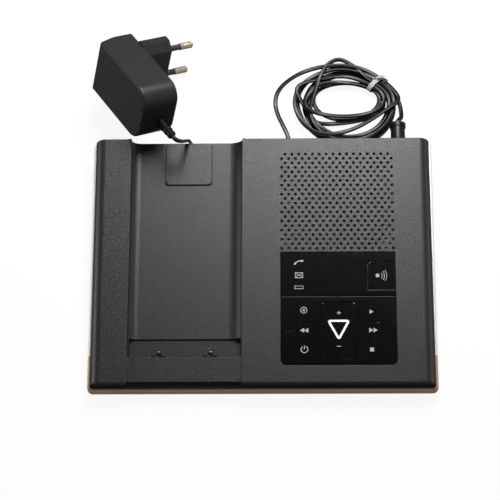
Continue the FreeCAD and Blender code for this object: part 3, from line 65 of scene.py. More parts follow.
lens = bpy.data.cameras.new("camera")
lens.sensor_width = SENSOR
lens.lens = SENSOR * FOCAL_PIXELS / PICTURE
lens.clip_start, lens.clip_end = 0.05, 20
camera = bpy.data.objects.new("camera", lens)
bpy.context.scene.collection.objects.link(camera)
axes = Matrix((right, behind.cross(right), behind)).transposed()
camera.matrix_world = Matrix.Translation(eye) @ axes.to_4x4()
bpy.context.scene.camera = camera
bpy.context.scene.view_settings.view_transform = "Standard"
print("lens", round(lens.lens, 1), "mm")

# %% [markdown]
# ## The lead
#
# The real lead is a flat twin flex, supple and rather short. It leaves the adaptor, drops behind
# the base, runs round to the right, is wound into eight turns under a twist tie and ends in the
# small plug at the back. A chain of straight tubes would look like bent wire. One smooth NURBS
# spline through a few points of the route gives an even curve, and a flat profile drawn along
# it gives the two cores and the groove between them.

# %% Points of the loose stretch
route = [
    (-0.0509, 0.0676, 0.0402), (-0.0492, 0.0651, 0.0407), (-0.0470, 0.0657, 0.0378),
    (-0.0452, 0.0688, 0.0314), (-0.0438, 0.0724, 0.0248), (-0.0430, 0.0754, 0.0194),
    (-0.0422, 0.0765, 0.0136), (-0.0402, 0.0769, 0.0080), (-0.0345, 0.0771, 0.0034),
    (-0.0260, 0.0771, 0.0020),
    (-0.0135, 0.0771, 0.0015), (-0.0010, 0.0772, 0.0015), (0.0090, 0.0774, 0.0015),
    (0.0152, 0.0795, 0.0015), (0.0154, 0.0860, 0.0015), (0.0122, 0.0935, 0.0015),
    (0.0088, 0.1010, 0.0015), (0.0073, 0.1085, 0.0015), (0.0084, 0.1152, 0.0018),
    (0.0120, 0.1204, 0.0026), (0.0186, 0.1252, 0.0040), (0.0262, 0.1286, 0.0052),
    (0.0370, 0.1312, 0.0060), (0.0500, 0.1316, 0.0062), (0.0610, 0.1290, 0.0058),
    (0.0698, 0.1234, 0.0052), (0.0768, 0.1172, 0.0050),
]
print(len(route), "points of the loose stretch")

# %% [markdown]
# The turns are an oval that shrinks inward in an upper layer, climbs down through half a turn
# and grows again in a lower layer. At the tie the strands are pressed into one bundle. Away
# from it each turn goes its own way: some sag behind the base, one cuts a corner, one swings
# out in a tall loop. Each such bend is a soft push at some place along the winding, so the
# spline stays smooth.

# %% Sizes of the coil
TURNS, POINTS_PER_TURN = 8, 18
MIDDLE = Vector((0.0500, 0.1092, 0))
INNER = (0.0207, 0.0116)
GROWTH, UPPER, LOWER = 0.0109, 0.0044, 0.0017
HALF_WAY, CLIMB = 3.75, 0.5
TIE_TURN, TIE_REACH = 0.875, 34
BUNDLE = [(0.0086, 0.0046), (0.0060, 0.0050), (0.0034, 0.0052), (0.0010, 0.0048), (0.0002, 0.0031),
          (0.0006, 0.0014), (0.0032, 0.0014), (0.0058, 0.0015), (0.0084, 0.0028)]
# Place along the winding in turns, width in turns, and the push in millimetres
BENDS = [
    (0.12, 0.10, 0.5, 6.8, 3.4), (0.34, 0.09, -2.5, -4.6, 1.5), (0.50, 0.12, -1.0, 0, 0),
    (0.75, 0.10, 0, 1.5, 0.3), (1.13, 0.08, 1.0, -2.5, 0.5), (1.26, 0.15, 0, -8.4, 0.3),
    (1.54, 0.11, 7.6, 0, 2.4), (1.73, 0.11, 0, 11.4, 1.4), (2.14, 0.08, 1.5, -2.5, 0),
    (2.27, 0.15, 0, -8.8, 0), (2.58, 0.08, -8.6, 2.0, 1.2), (2.76, 0.08, 0, 2.0, 0.4),
    (3.22, 0.14, 0, 1.4, 1.2), (3.45, 0.10, -4.5, -2.5, 3.2), (3.62, 0.07, -1.0, 1.5, 1.2),
    (4.22, 0.13, 0, -1.0, 0), (4.48, 0.10, 1.6, 0, 0.6), (5.20, 0.12, 0, 0.8, 0),
    (5.38, 0.08, -2.6, -3.4, 0), (5.60, 0.09, 2.2, 0.6, 0.6), (5.74, 0.10, 0, 2.2, 0.2),
    (6.14, 0.08, 2.2, -3.2, 0), (6.27, 0.15, 0, -8.6, 0), (6.55, 0.10, 2.4, 0, 0),
    (6.74, 0.10, 0, 1.6, 0), (7.14, 0.08, 2.0, -3.0, 0), (7.27, 0.15, 0, -8.4, 0),
    (7.48, 0.10, 0.6, 0, 0), (7.74, 0.10, 0, 1.4, 0),
]
print(TURNS, "turns with", len(BENDS), "bends")

# %% [markdown]
# The formula for one point comes next. It works out how far the oval has grown and how high its
# layer lies, adds the pushes, and near the tie it draws the strand to its place in the bundle.
# The same formula, asked in even steps, then gives all points of the coil.

# %% Points of the coil
MIDDLE_DIP = -0.0012


def coil_point(turn):
    """A point of the coil, some number of turns from its start."""
    if turn < HALF_WAY:
        grow, height = GROWTH * (1 - turn / HALF_WAY), UPPER
    elif turn < HALF_WAY + CLIMB:
        share = (turn - HALF_WAY) / CLIMB
        grow = MIDDLE_DIP * math.sin(math.pi * share)
        height = UPPER + (LOWER - UPPER) * (0.5 - 0.5 * math.cos(math.pi * share))
    else:
        grow, height = GROWTH * (turn - HALF_WAY - CLIMB) / HALF_WAY, LOWER
    push = Vector((0, 0, 0))
    for place, width, *millimetres in BENDS:
        push += Vector(millimetres) * 0.001 * math.exp(-(((turn - place) / width) ** 2))
    from_tie = 360 * ((turn - TIE_TURN + 0.5) % 1 - 0.5)
    tied = math.exp(-((from_tie / TIE_REACH) ** 2))
    bundle = BUNDLE[min(int(turn + 1.5 - TIE_TURN), TURNS)]
    grow += (bundle[0] - grow) * tied
    height += (bundle[1] - height) * tied
    angle = 2 * math.pi * turn
    across = (INNER[0] + grow) * math.cos(angle)
    deep = -(INNER[1] + grow) * math.sin(angle)
    return MIDDLE + Vector((across, deep, height)) + push * (1 - tied)


coil = [tuple(coil_point(step / POINTS_PER_TURN)) for step in range(TURNS * POINTS_PER_TURN + 1)]
tail = [(0.0822, 0.1045, 0.0019), (0.0825, 0.1000, 0.0024), (0.0820, 0.0964, 0.0050),
        (0.0803, 0.0940, 0.0075), (0.0796, 0.0922, 0.0080), (0.0796, 0.0900, 0.0080)]
print(len(coil), "points of the coil,", len(tail), "of the tail")

# %% [markdown]
# The profile is a small closed curve of its own: two round cores side by side with a shallow
# groove between them. It isn't shown. The lead's curve borrows it as its bevel. Each point of
# the lead has a radius that scales the profile, so we draw the profile in millimetres and let a
# radius of one thousandth bring it down to metres. The radius also counts in the curve's box,
# which would be two metres wide if we left it at one.

# %% Helpers for the lead
CORE, CORE_APART = 0.78, 0.52
TO_METRES = 0.001
ROLL = 0.35


def flex_profile():
    """The outline of the twin flex as a closed curve."""
    outline = []
    for side in (1, -1):
        for step in range(9):
            turn = math.radians(-100 + 25 * step) + (math.pi if side < 0 else 0)
            outline.append((side * CORE_APART + CORE * math.cos(turn), CORE * math.sin(turn)))
    data = bpy.data.curves.new("flex_profile", "CURVE")
    data.dimensions = "2D"
    line = data.splines.new("POLY")
    line.points.add(len(outline) - 1)
    for point, (x, y) in zip(line.points, outline):
        point.co = (x, y, 0, 1)
    line.use_cyclic_u = True
    shown = bpy.data.objects.new("flex_profile", data)
    bpy.context.scene.collection.objects.link(shown)
    shown.hide_render = True
    shown.hide_viewport = True
    return shown


def smooth_curve(name, points, roll):
    """A curve object of one smooth open spline, which rolls a little to either side."""
    data = bpy.data.curves.new(name, "CURVE")
    data.dimensions = "3D"
    data.twist_mode = "Z_UP"
    line = data.splines.new("NURBS")
    line.points.add(len(points) - 1)
    for index, (point, place) in enumerate(zip(line.points, points)):
        point.co = (*place, 1)
        point.radius = TO_METRES
        point.tilt = roll * math.sin(0.9 * index)
    line.order_u = 3
    line.use_endpoint_u = True
    line.resolution_u = 5
    shown = bpy.data.objects.new(name, data)
    bpy.context.scene.collection.objects.link(shown)
    return shown


# %% [markdown]
# The three lists of points make one curve. The lead rides on the body of the base, because it
# lies beside it, and it takes the place of the three tubes of the CAD model.

# %% Draw the lead
lead = smooth_curve("lead", route + coil + tail, ROLL)
lead.data.bevel_mode = "OBJECT"
lead.data.bevel_object = flex_profile()
lead.data.use_fill_caps = True
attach(lead, "base")
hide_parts("lead_loose", "lead_coil", "lead_tail")
print("lead drawn through", len(route + coil + tail), "points")

# %% [markdown]
# ## The twist tie
#
# A white paper ribbon with a wire inside is wrapped round the bundle, and its two ends are
# twisted and bent into a small bow. We build each length of it as a ribbon: a strip of
# rectangles that follows a list of points, thickened by a modifier.

# %% A ribbon helper
def new_mesh_object(name, vertices, faces):
    """A mesh object from points and faces."""
    data = bpy.data.meshes.new(name)
    data.from_pydata([tuple(v) for v in vertices], [], faces)
    data.validate()
    shown = bpy.data.objects.new(name, data)
    bpy.context.scene.collection.objects.link(shown)
    return shown


def ribbon(points, sideways, width, twist=0.0):
    """Vertices and faces of a strip along points, which may twist by some turns."""
    vertices, faces = [], []
    for index, point in enumerate(points):
        before = points[max(index - 1, 0)]
        after = points[min(index + 1, len(points) - 1)]
        along = (after - before).normalized()
        angle = 2 * math.pi * twist * index / (len(points) - 1)
        side = Matrix.Rotation(angle, 3, along) @ (sideways - along * sideways.dot(along))
        side = side.normalized() * width / 2
        vertices += [point - side, point + side]
        if index:
            low = 2 * index
            faces.append((low - 2, low - 1, low + 1, low))
    return vertices, faces


# %% [markdown]
# The strands run diagonally where the tie goes round them. So its points are given by three
# measures: outward across the bundle, upward, and along the strands. The band is a squared oval,
# and three short ends leave it at the top.

# %% Wrap the tie round the bundle
TIE_AT = Vector((0.0646, 0.1174, 0))
OUT = Vector((0.7071, 0.7071, 0))
ALONG = Vector((-0.7071, 0.7071, 0))
RIBBON, PAPER = 0.0030, 0.0005
TIE_LIFT = 0.0003
STEPS_BETWEEN = 6


def tie_point(out, height, along=0.0):
    """A point by the bundle: outward from its inner edge, up, and along the strands."""
    return TIE_AT + OUT * out + ALONG * along + Vector((0, 0, height))


def oval(middle, reach, rise, steps=36):
    """A closed oval across the bundle, a little squared."""
    points = []
    for step in range(steps + 1):
        turn = 2 * math.pi * step / steps
        c, s = math.cos(turn), math.sin(turn)
        points.append(tie_point(middle + reach * abs(c) ** 0.8 * (1 if c > 0 else -1),
                                rise * (1 + abs(s) ** 0.8 * (1 if s > 0 else -1)) + TIE_LIFT))
    return points


vertices, faces = ribbon(oval(0.0043, 0.0060, 0.0033), ALONG, RIBBON)
ends = [
    ([(0.0062, 0.0068, 0), (0.0072, 0.0080, -0.0012), (0.0086, 0.0086, -0.0030),
      (0.0094, 0.0078, -0.0046), (0.0086, 0.0068, -0.0044), (0.0074, 0.0070, -0.0026)], 0.1),
    ([(0.0058, 0.0070, 0.0004), (0.0068, 0.0084, 0.0002), (0.0084, 0.0092, -0.0008),
      (0.0100, 0.0084, -0.0020)], 0.2),
    ([(0.0052, 0.0070, 0.0004), (0.0042, 0.0078, 0.0012), (0.0034, 0.0078, 0.0020)], 0.15),
]
for places, twist in ends:
    rough = [tie_point(*place) for place in places]
    strip_points = []
    for first, second in zip(rough, rough[1:]):
        strip_points += [first.lerp(second, share / STEPS_BETWEEN)
                         for share in range(STEPS_BETWEEN)]
    more, more_faces = ribbon(strip_points + rough[-1:], ALONG.cross(OUT), RIBBON * 0.8, twist)
    faces += [tuple(v + len(vertices) for v in face) for face in more_faces]
    vertices += more
tie = new_mesh_object("tie", vertices, faces)
thick = tie.modifiers.new("thickness", "SOLIDIFY")
thick.thickness, thick.offset = PAPER, 1
smooth = tie.modifiers.new("smooth", "SUBSURF")
smooth.levels = smooth.render_levels = 1
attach(tie, "base")
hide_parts("twist_tie")
print("tie", len(tie.data.polygons), "faces")

# %% [markdown]
# ## Finishes
#
# Every finish here is a Principled shader with small procedural textures behind it. They read
# object coordinates, which are metres in this model, so a grain of 0.4 mm is a noise with a
# scale of 2500. One helper makes the shader and two more add what most plastics share: a fine
# grain that breaks up the light, and slow changes of gloss where hands have touched it.

# %% Helpers for materials
def finish(name, color, roughness, metallic=0.0):
    """A new material with its Principled shader and object coordinates."""
    material = bpy.data.materials.new(name)
    material.use_nodes = True
    tree = material.node_tree
    shader = tree.nodes["Principled BSDF"]
    shader.inputs["Base Color"].default_value = (*color, 1)
    shader.inputs["Roughness"].default_value = roughness
    shader.inputs["Metallic"].default_value = metallic
    where = tree.nodes.new("ShaderNodeTexCoord")
    return material, tree, shader, where.outputs["Object"]


def noise(tree, where, scale, detail=2.0):
    """A noise texture's value."""
    texture = tree.nodes.new("ShaderNodeTexNoise")
    texture.inputs["Scale"].default_value = scale
    texture.inputs["Detail"].default_value = detail
    tree.links.new(where, texture.inputs["Vector"])
    return texture.outputs["Fac"]


def spread_out(tree, value, low, high, start=0.3, end=0.7):
    """A value stretched from its usual range to another."""
    ramp = tree.nodes.new("ShaderNodeMapRange")
    ramp.inputs["From Min"].default_value = start
    ramp.inputs["From Max"].default_value = end
    ramp.inputs["To Min"].default_value = low
    ramp.inputs["To Max"].default_value = high
    tree.links.new(value, ramp.inputs["Value"])
    return ramp.outputs["Result"]


def grain(tree, shader, where, scale, depth):
    """A fine bump, with a scale per metre and a depth in metres."""
    bump = tree.nodes.new("ShaderNodeBump")
    bump.inputs["Strength"].default_value = 1.0
    bump.inputs["Distance"].default_value = depth
    tree.links.new(noise(tree, where, scale), bump.inputs["Height"])
    tree.links.new(bump.outputs["Normal"], shader.inputs["Normal"])
    return bump


def tinted(tree, shader, value, first, second):
    """The base colour between two colours, by a value."""
    mix = tree.nodes.new("ShaderNodeMix")
    mix.data_type = "RGBA"
    mix.inputs["A"].default_value = (*first, 1)
    mix.inputs["B"].default_value = (*second, 1)
    tree.links.new(value, mix.inputs["Factor"])
    tree.links.new(mix.outputs["Result"], shader.inputs["Base Color"])
    return mix


# %% [markdown]
# The upper housing is moulded in a black plastic with a spark-eroded grain. Seen close it is a
# field of tiny pits, and from further off they turn its gloss into a wide soft sheen, here with
# a slightly warm tint. Dust and
# wear make it a little greyer in places. Its 363 small holes make a real bevel costly and rough,
# so its edges are rounded in the shading alone, with a bevel node ahead of the bump.

# %% Black housing plastic
def moulded(name, dark, light, roughness, grain_scale, depth, rounding=0.0):
    """A grained plastic whose colour and gloss drift a little, with edges that shade as round."""
    material, tree, shader, where = finish(name, dark, roughness)
    mottle = spread_out(tree, noise(tree, where, 0.45 * grain_scale, 3), 0, 1, 0.36, 0.64)
    tinted(tree, shader, mottle, dark, light)
    speckle = spread_out(tree, noise(tree, where, grain_scale * 0.7),
                         roughness - 0.05, roughness + 0.07)
    tree.links.new(speckle, shader.inputs["Roughness"])
    bump = grain(tree, shader, where, grain_scale, depth)
    if rounding:
        soft_edge = tree.nodes.new("ShaderNodeBevel")
        soft_edge.samples = 6
        soft_edge.inputs["Radius"].default_value = rounding
        tree.links.new(soft_edge.outputs["Normal"], bump.inputs["Normal"])
    return material


housing_plastic = moulded("housing plastic", (0.0062, 0.0059, 0.0054), (0.0105, 0.0101, 0.0094),
                          0.37, 2000, 0.00012, rounding=0.0003)
cradle_plastic = moulded("cradle plastic", (0.0060, 0.0058, 0.0054), (0.0092, 0.0089, 0.0084),
                         0.37, 2200, 0.00007)
WARM = (1.0, 0.965, 0.94, 1)
for plastic in (housing_plastic, cradle_plastic):
    inputs = plastic.node_tree.nodes["Principled BSDF"].inputs
    inputs["Specular Tint"].default_value = WARM
adaptor_plastic = moulded("adaptor plastic", (0.0110, 0.0110, 0.0104), (0.0155, 0.0155, 0.0147),
                          0.38, 2400, 0.00004)
adaptor_plastic.node_tree.nodes["Principled BSDF"].inputs["Specular IOR Level"].default_value = 0.3
inner_plastic = moulded("inner plastic", (0.012, 0.012, 0.012), (0.018, 0.018, 0.018),
                        0.5, 2000, 0.00003)
foot_rubber = moulded("foot rubber", (0.018, 0.018, 0.018), (0.024, 0.024, 0.024),
                      0.75, 1500, 0.00005)
print("plastics ready")

# %% [markdown]
# The key panel is the opposite: polished black, with reflections nearly as sharp as a mirror's.
# Real gloss is never perfect, so finger marks make it a little duller in soft patches, and a
# very slow ripple bends the reflections.

# %% Gloss black of the panel
panel_gloss, tree, shader, where = finish("panel gloss", (0.0017, 0.0019, 0.0025), 0.09)
marks = spread_out(tree, noise(tree, where, 90, 6), 0.07, 0.13, 0.42, 0.72)
tree.links.new(marks, shader.inputs["Roughness"])
grain(tree, shader, where, 60, 0.00001)
print("panel gloss ready")

# %% [markdown]
# The lower case is sprayed silver: a metallic paint whose flakes glitter slightly, over a
# plastic. A partly metallic shader with a soft roughness gives its tone, and a fine noise in
# the colour and the roughness stands for the flakes. The strip round the front is the same
# silver paint, made more metallic and given a brown colour that is a painted reflection of the
# room in front of it.

# %% Silver paint
def sprayed(name, dark, light, roughness, metallic):
    """A metallic paint with fine flakes."""
    material, tree, shader, where = finish(name, light, roughness, metallic)
    flakes = spread_out(tree, noise(tree, where, 3800, 1), 0, 1)
    tinted(tree, shader, flakes, dark, light)
    gloss = spread_out(tree, noise(tree, where, 2600, 1), roughness - 0.06, roughness + 0.08)
    tree.links.new(gloss, shader.inputs["Roughness"])
    grain(tree, shader, where, 3000, 0.00001)
    return material


case_silver = sprayed("case silver", (0.66, 0.66, 0.635), (0.86, 0.86, 0.83), 0.38, 0.35)
# The trim's brown is a painted reflection, not the colour of its paint.
trim_painted_reflection = sprayed("trim painted reflection", (0.46, 0.29, 0.165), (0.60, 0.40, 0.25), 0.34, 0.6)
print("silver paints ready")

# %% [markdown]
# The lead's sheath is a soft vinyl: smooth, dark and slightly bluish where it shines. The tie is
# paper, dull and fibrous. The prongs are bright nickel, warm in tone, and the contacts are given
# a dark colour. Both have fine scuffs.

# %% Sheath, paper and metals
sheath_vinyl, tree, shader, where = finish("sheath vinyl", (0.0026, 0.0028, 0.0030), 0.34)
shader.inputs["Specular IOR Level"].default_value = 0.28
handled = spread_out(tree, noise(tree, where, 240, 3), 0.27, 0.43)
tree.links.new(handled, shader.inputs["Roughness"])
grain(tree, shader, where, 900, 0.00002)

tie_paper, tree, shader, where = finish("tie paper", (0.36, 0.37, 0.35), 0.7)
tinted(tree, shader, spread_out(tree, noise(tree, where, 700, 3), 0, 1),
       (0.30, 0.31, 0.29), (0.42, 0.43, 0.41))
grain(tree, shader, where, 1600, 0.00006)


def metal(name, color, roughness, scuff_scale):
    """A bare metal with small scuffs."""
    material, tree, shader, where = finish(name, color, roughness, 1.0)
    scuffs = spread_out(tree, noise(tree, where, scuff_scale, 3),
                        roughness - 0.07, roughness + 0.12)
    tree.links.new(scuffs, shader.inputs["Roughness"])
    tinted(tree, shader, spread_out(tree, noise(tree, where, scuff_scale / 3), 0, 1),
           tuple(0.86 * c for c in color), color)
    grain(tree, shader, where, scuff_scale, 0.000002)
    return material


pin_nickel = metal("pin nickel", (0.80, 0.68, 0.52), 0.30, 400)
# The contacts get a dark colour, much darker than bare nickel.
contact_nickel = metal("contact nickel", (0.10, 0.095, 0.085), 0.55, 600)
plated_steel = metal("plated steel", (0.56, 0.56, 0.57), 0.32, 500)
print("sheath, paper and metals ready")

# %% [markdown]
# What lies inside is seen only through the grille and at the sockets, and still gets a finish of
# its own: green boards, a milky light guide and a paper cone. The milky plastic glows faintly,
# so that the ring in the four-way key stays the brightest thing on the panel. The grey of the
# printed signs is made here too.

# %% Inner finishes
board_green = moulded("board lacquer", (0.012, 0.085, 0.032), (0.020, 0.11, 0.045),
                      0.35, 900, 0.00003)
cone_paper = moulded("cone paper", (0.016, 0.016, 0.016), (0.026, 0.026, 0.026),
                     0.85, 1400, 0.0001)
milky, tree, shader, where = finish("milky plastic", (0.86, 0.87, 0.86), 0.4)
tinted(tree, shader, spread_out(tree, noise(tree, where, 500), 0, 1),
       (0.82, 0.83, 0.82), (0.92, 0.93, 0.92))
grain(tree, shader, where, 1800, 0.00001)
shader.inputs["Emission Color"].default_value = (1, 1, 1, 1)
shader.inputs["Emission Strength"].default_value = 0.12
sign_print, tree, shader, where = finish("sign print", (0.36, 0.37, 0.385), 0.5)
tinted(tree, shader, spread_out(tree, noise(tree, where, 1500), 0, 1),
       (0.30, 0.31, 0.325), (0.42, 0.43, 0.445))
grain(tree, shader, where, 2500, 0.00001)
print(len(bpy.data.materials), "materials made")

# %% [markdown]
# ## Dressing the solids
#
# Each solid keeps its shape and gets its finish. The table below names the start of a solid's
# name, and the longest match decides, so that one line can serve four feet or five switches.

# %% Give each solid its finish
FINISHES = {
    "upper_housing": housing_plastic, "lower_case": case_silver, "front_trim": trim_painted_reflection,
    "handset_rest_tab": housing_plastic, "contact_carrier": cradle_plastic,
    "charge_contact": contact_nickel, "display_window": panel_gloss, "paging_key": panel_gloss,
    "delete_key": panel_gloss, "play_key": panel_gloss, "power_key": panel_gloss,
    "stop_key": panel_gloss, "nav_key": panel_gloss, "nav_light_ring": milky, "light_guide": milky,
    "lamp": milky, "nav_gimbal": inner_plastic, "nav_post": inner_plastic,
    "key_board": board_green, "main_board": board_green, "switch": inner_plastic,
    "radio_shield": plated_steel,
    "antenna": plated_steel, "speaker_gasket": foot_rubber, "speaker_frame": plated_steel,
    "speaker_cone": cone_paper, "speaker_magnet": plated_steel, "line_jack": inner_plastic,
    "dc_jack": inner_plastic, "dc_pin": plated_steel, "adaptor_cap": adaptor_plastic,
    "adaptor_shell": adaptor_plastic, "plug_pin": pin_nickel, "pin_sleeve": inner_plastic,
    "adaptor_relief": sheath_vinyl, "dc_plug": sheath_vinyl, "dc_barrel": plated_steel,
    "screw": plated_steel, "foot": foot_rubber,
}


def dress(piece, material):
    """Put one material on all of a piece."""
    piece.data.materials.clear()
    piece.data.materials.append(material)


for name, piece in nodes.items():
    found = max((key for key in FINISHES if name.startswith(key)), key=len, default=None)
    if found is not None:
        dress(piece, FINISHES[found])
dress(lead, sheath_vinyl)
dress(tie, tie_paper)
bare = [name for name, piece in nodes.items()
        if not piece.hide_render and not piece.data.materials]
print("without a finish:", bare)

# %% [markdown]
# A real moulding has no knife edges, so a thin bevel goes on as a modifier, narrower than the
# gaps between the keys. Its little faces catch the light along every rim, which is most of what
# makes the panel readable in the photograph. The weld comes first, because the loaded meshes
# are split along their sharp edges and a bevel needs them joined.

# %% Soften the edges
JOIN_WITHIN = 0.000002
SHARP = math.radians(35)
FLAT_FIRST = 70
BEVELS = {
    "lower_case": 0.0002, "front_trim": 0.0002,
    "display_window": 0.00018, "paging_key": 0.00018, "delete_key": 0.00018, "play_key": 0.00018,
    "power_key": 0.00018, "stop_key": 0.00018, "nav_key": 0.00022, "handset_rest_tab": 0.0003,
    "contact_carrier": 0.0002, "charge_contact_left": 0.0002, "charge_contact_right": 0.0002,
    "adaptor_shell": 0.0003, "adaptor_relief": 0.0003, "dc_plug": 0.0004, "plug_pin_1": 0.0003,
    "plug_pin_2": 0.0003, "foot_1": 0.0003, "foot_2": 0.0003, "foot_3": 0.0003, "foot_4": 0.0003,
}
for name, width in BEVELS.items():
    welded = nodes[name].modifiers.new("weld", "WELD")
    welded.merge_threshold = JOIN_WITHIN
    bevel = nodes[name].modifiers.new("edge", "BEVEL")
    bevel.width = width
    bevel.segments = 2
    bevel.limit_method = "ANGLE"
    bevel.use_clamp_overlap = True
    bevel.angle_limit = SHARP
    shading = nodes[name].modifiers.new("shading", "WEIGHTED_NORMAL")
    shading.mode, shading.weight = "FACE_AREA", FLAT_FIRST
print(len(BEVELS), "solids with softened edges")

# %% [markdown]
# ## Signs on the keys
#
# The signs are printed in grey. They could be a texture, but thin plates stay sharp at any
# distance and move with their key. A sign is a set of strokes and filled shapes drawn in
# millimetres on the slope of the top. Its plate stands 0.03 mm proud of the key.

# %% Draw on the slope
SLOPE = math.radians(4.5)
CORNER = Vector((0, -0.0714, 0.013))
UP_SLOPE = Vector((0, math.cos(SLOPE), math.sin(SLOPE)))
NORMAL = Vector((0, -math.sin(SLOPE), math.cos(SLOPE)))
KEY_TOP, CROSS_TOP = -0.0003, -0.00015
PLATE = 0.00003
LAYER = 0.0000004


def on_slope(x, s, above):
    """A point of the top, in millimetres across and up the slope, and metres above it."""
    return CORNER + Vector((x * 0.001, 0, 0)) + UP_SLOPE * (s * 0.001) + NORMAL * above


# %% [markdown]
# Three small drawing tools are enough for all signs. One turns a path into straight strokes, one
# gives the points of an arc, and one makes a stroke of even width along a curve. Each returns
# plain outlines.

# %% Strokes and arcs
def stroke(points, width, closed=False):
    """Outlines of straight strokes of one width through points, with overlapping ends."""
    shapes = []
    pairs = list(zip(points, points[1:] + (points[:1] if closed else [])))
    for (x0, y0), (x1, y1) in pairs:
        length = math.hypot(x1 - x0, y1 - y0) or 1
        ax, ay = (x1 - x0) / length * width / 2, (y1 - y0) / length * width / 2
        shapes.append([(x0 - ax + ay, y0 - ay - ax), (x1 + ax + ay, y1 + ay - ax),
                       (x1 + ax - ay, y1 + ay + ax), (x0 - ax - ay, y0 - ay + ax)])
    return shapes


def bow(radius, start, end, count=20, at=(0, 0)):
    """Points on an arc, in degrees."""
    turns = [math.radians(start + (end - start) * i / (count - 1)) for i in range(count)]
    return [(at[0] + radius * math.cos(t), at[1] + radius * math.sin(t)) for t in turns]


def curved_stroke(points, width, closed=False):
    """One outline of a stroke through close points, as a strip of quads."""
    quads, sides, count = [], [], len(points)
    for i, (x, y) in enumerate(points):
        before = points[i - 1] if i or closed else points[0]
        after = points[(i + 1) % count] if i + 1 < count or closed else points[-1]
        length = math.hypot(after[0] - before[0], after[1] - before[1]) or 1
        nx, ny = -(after[1] - before[1]) / length, (after[0] - before[0]) / length
        sides.append(((x + nx * width / 2, y + ny * width / 2),
                      (x - nx * width / 2, y - ny * width / 2)))
    for i in range(count if closed else count - 1):
        (a, b), (c, d) = sides[i], sides[(i + 1) % count]
        quads.append([b, d, c, a])
    return quads


# %% [markdown]
# A sign gathers its outlines in one mesh. Where two strokes cross, their faces would flicker if
# they lay in one plane, so each one lies a hair above the last.

# %% Make a sign
def sign(name, at, shapes, body, top):
    """A thin plate of several flat shapes on a key."""
    mesh = bmesh.new()
    for index, outline in enumerate(shapes):
        lift = top + PLATE + LAYER * index
        corners = [mesh.verts.new(on_slope(at[0] + x, at[1] + y, lift)) for x, y in outline]
        face = mesh.faces.new(corners)
        face.normal_update()
        if face.normal.dot(NORMAL) < 0:
            face.normal_flip()
    data = bpy.data.meshes.new(name)
    mesh.to_mesh(data)
    mesh.free()
    plate = bpy.data.objects.new(name, data)
    bpy.context.scene.collection.objects.link(plate)
    solid = plate.modifiers.new("thickness", "SOLIDIFY")
    solid.thickness, solid.offset = PLATE, -1
    dress(plate, sign_print)
    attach(plate, body)


# %% [markdown]
# The window has three indicators, one above the other: a receiver, an envelope and a battery.
# They ride on the base, because the window doesn't move.

# %% Signs of the three indicators
receiver = curved_stroke([(-2.5, -1.0), (-2.0, -0.3), (-1.2, 0.35), (-0.2, 0.8), (0.9, 1.05),
                          (2.1, 1.15)], 0.55)
receiver += [[(-2.9, -1.0), (-2.6, -1.5), (-1.2, -0.75), (-1.6, -0.2), (-2.3, -0.3)],
             [(1.0, 0.7), (1.6, 0.1), (2.7, 0.9), (2.6, 1.4), (1.7, 1.45)]]
sign("sign_phone", (20.6, 70.1), receiver, "base", KEY_TOP)
box = [(-2.05, -1.5), (2.05, -1.5), (2.05, 1.5), (-2.05, 1.5)]
sign("sign_message", (20.7, 62.6),
     stroke(box, 0.34, True) + stroke([(-1.8, 1.3), (0, -0.2), (1.8, 1.3)], 0.3)
     + stroke([(-1.8, -1.3), (-0.7, 0.1)], 0.24) + stroke([(1.8, -1.3), (0.7, 0.1)], 0.24),
     "base", KEY_TOP)
sign("sign_status", (20.6, 55.4),
     stroke([(-2.3, -0.8), (2.3, -0.8), (2.3, 0.8), (-2.3, 0.8)], 0.32, True), "base", KEY_TOP)
print("indicators marked")

# %% [markdown]
# Each key has its sign in the middle of what is left free, and each sign rides on its own key.
# The four on the cross tilt with it.

# %% Signs of the keys
sign("sign_delete", (23.2, 42.0),
     curved_stroke(bow(1.75, 0, 345, 24), 0.36, True)
     + stroke([(-0.6, -0.6), (0.6, 0.6)], 0.36) + stroke([(-0.6, 0.6), (0.6, -0.6)], 0.36),
     "delete", KEY_TOP)
sign("sign_play", (61.1, 41.0), [[(-1.1, -1.25), (1.2, 0), (-1.1, 1.25)]], "play", KEY_TOP)
sign("sign_power", (23.4, 19.2),
     curved_stroke(bow(1.9, 120, 420, 24), 0.46) + stroke([(0, 0.35), (0, 2.1)], 0.46),
     "power", KEY_TOP)
sign("sign_stop", (61.0, 19.0), [[(-1.15, -1.1), (1.15, -1.1), (1.15, 1.1), (-1.15, 1.1)]],
     "stop", KEY_TOP)
sign("sign_back", (23.4, 30.2),
     [[(-2.5, 0), (-0.1, -1.4), (-0.1, 1.4)], [(-0.1, 0), (2.3, -1.4), (2.3, 1.4)]],
     "nav", CROSS_TOP)
sign("sign_ahead", (61.9, 30.2),
     [[(2.5, 0), (0.1, 1.4), (0.1, -1.4)], [(0.1, 0), (-2.3, 1.4), (-2.3, -1.4)]],
     "nav", CROSS_TOP)
sign("sign_louder", (42.8, 40.3),
     stroke([(-0.9, 0), (0.9, 0)], 0.42) + stroke([(0, -0.9), (0, 0.9)], 0.42), "nav", CROSS_TOP)
sign("sign_softer", (42.6, 20.9), stroke([(-0.9, 0), (0.9, 0)], 0.42), "nav", CROSS_TOP)
waves = [bow(1.1, 0, 345, 20)]
for reach in (2.6, 3.9, 5.2):
    waves += curved_stroke(bow(reach, -38, 38, 14), 0.30)
sign("sign_paging", (64.9, 62.2), waves, "paging", KEY_TOP)
print("signs placed")

# %% [markdown]
# ## Marks on the adaptor
#
# The label's face of the adaptor has a curved grip ridge and a few pips near the lead. They are
# part of the moulding, only a few tenths of a millimetre high, so they are small domes and a
# rounded bar laid on the face, with the adaptor's own finish. First comes a helper that finds a
# point of that face, because the adaptor lies askew.

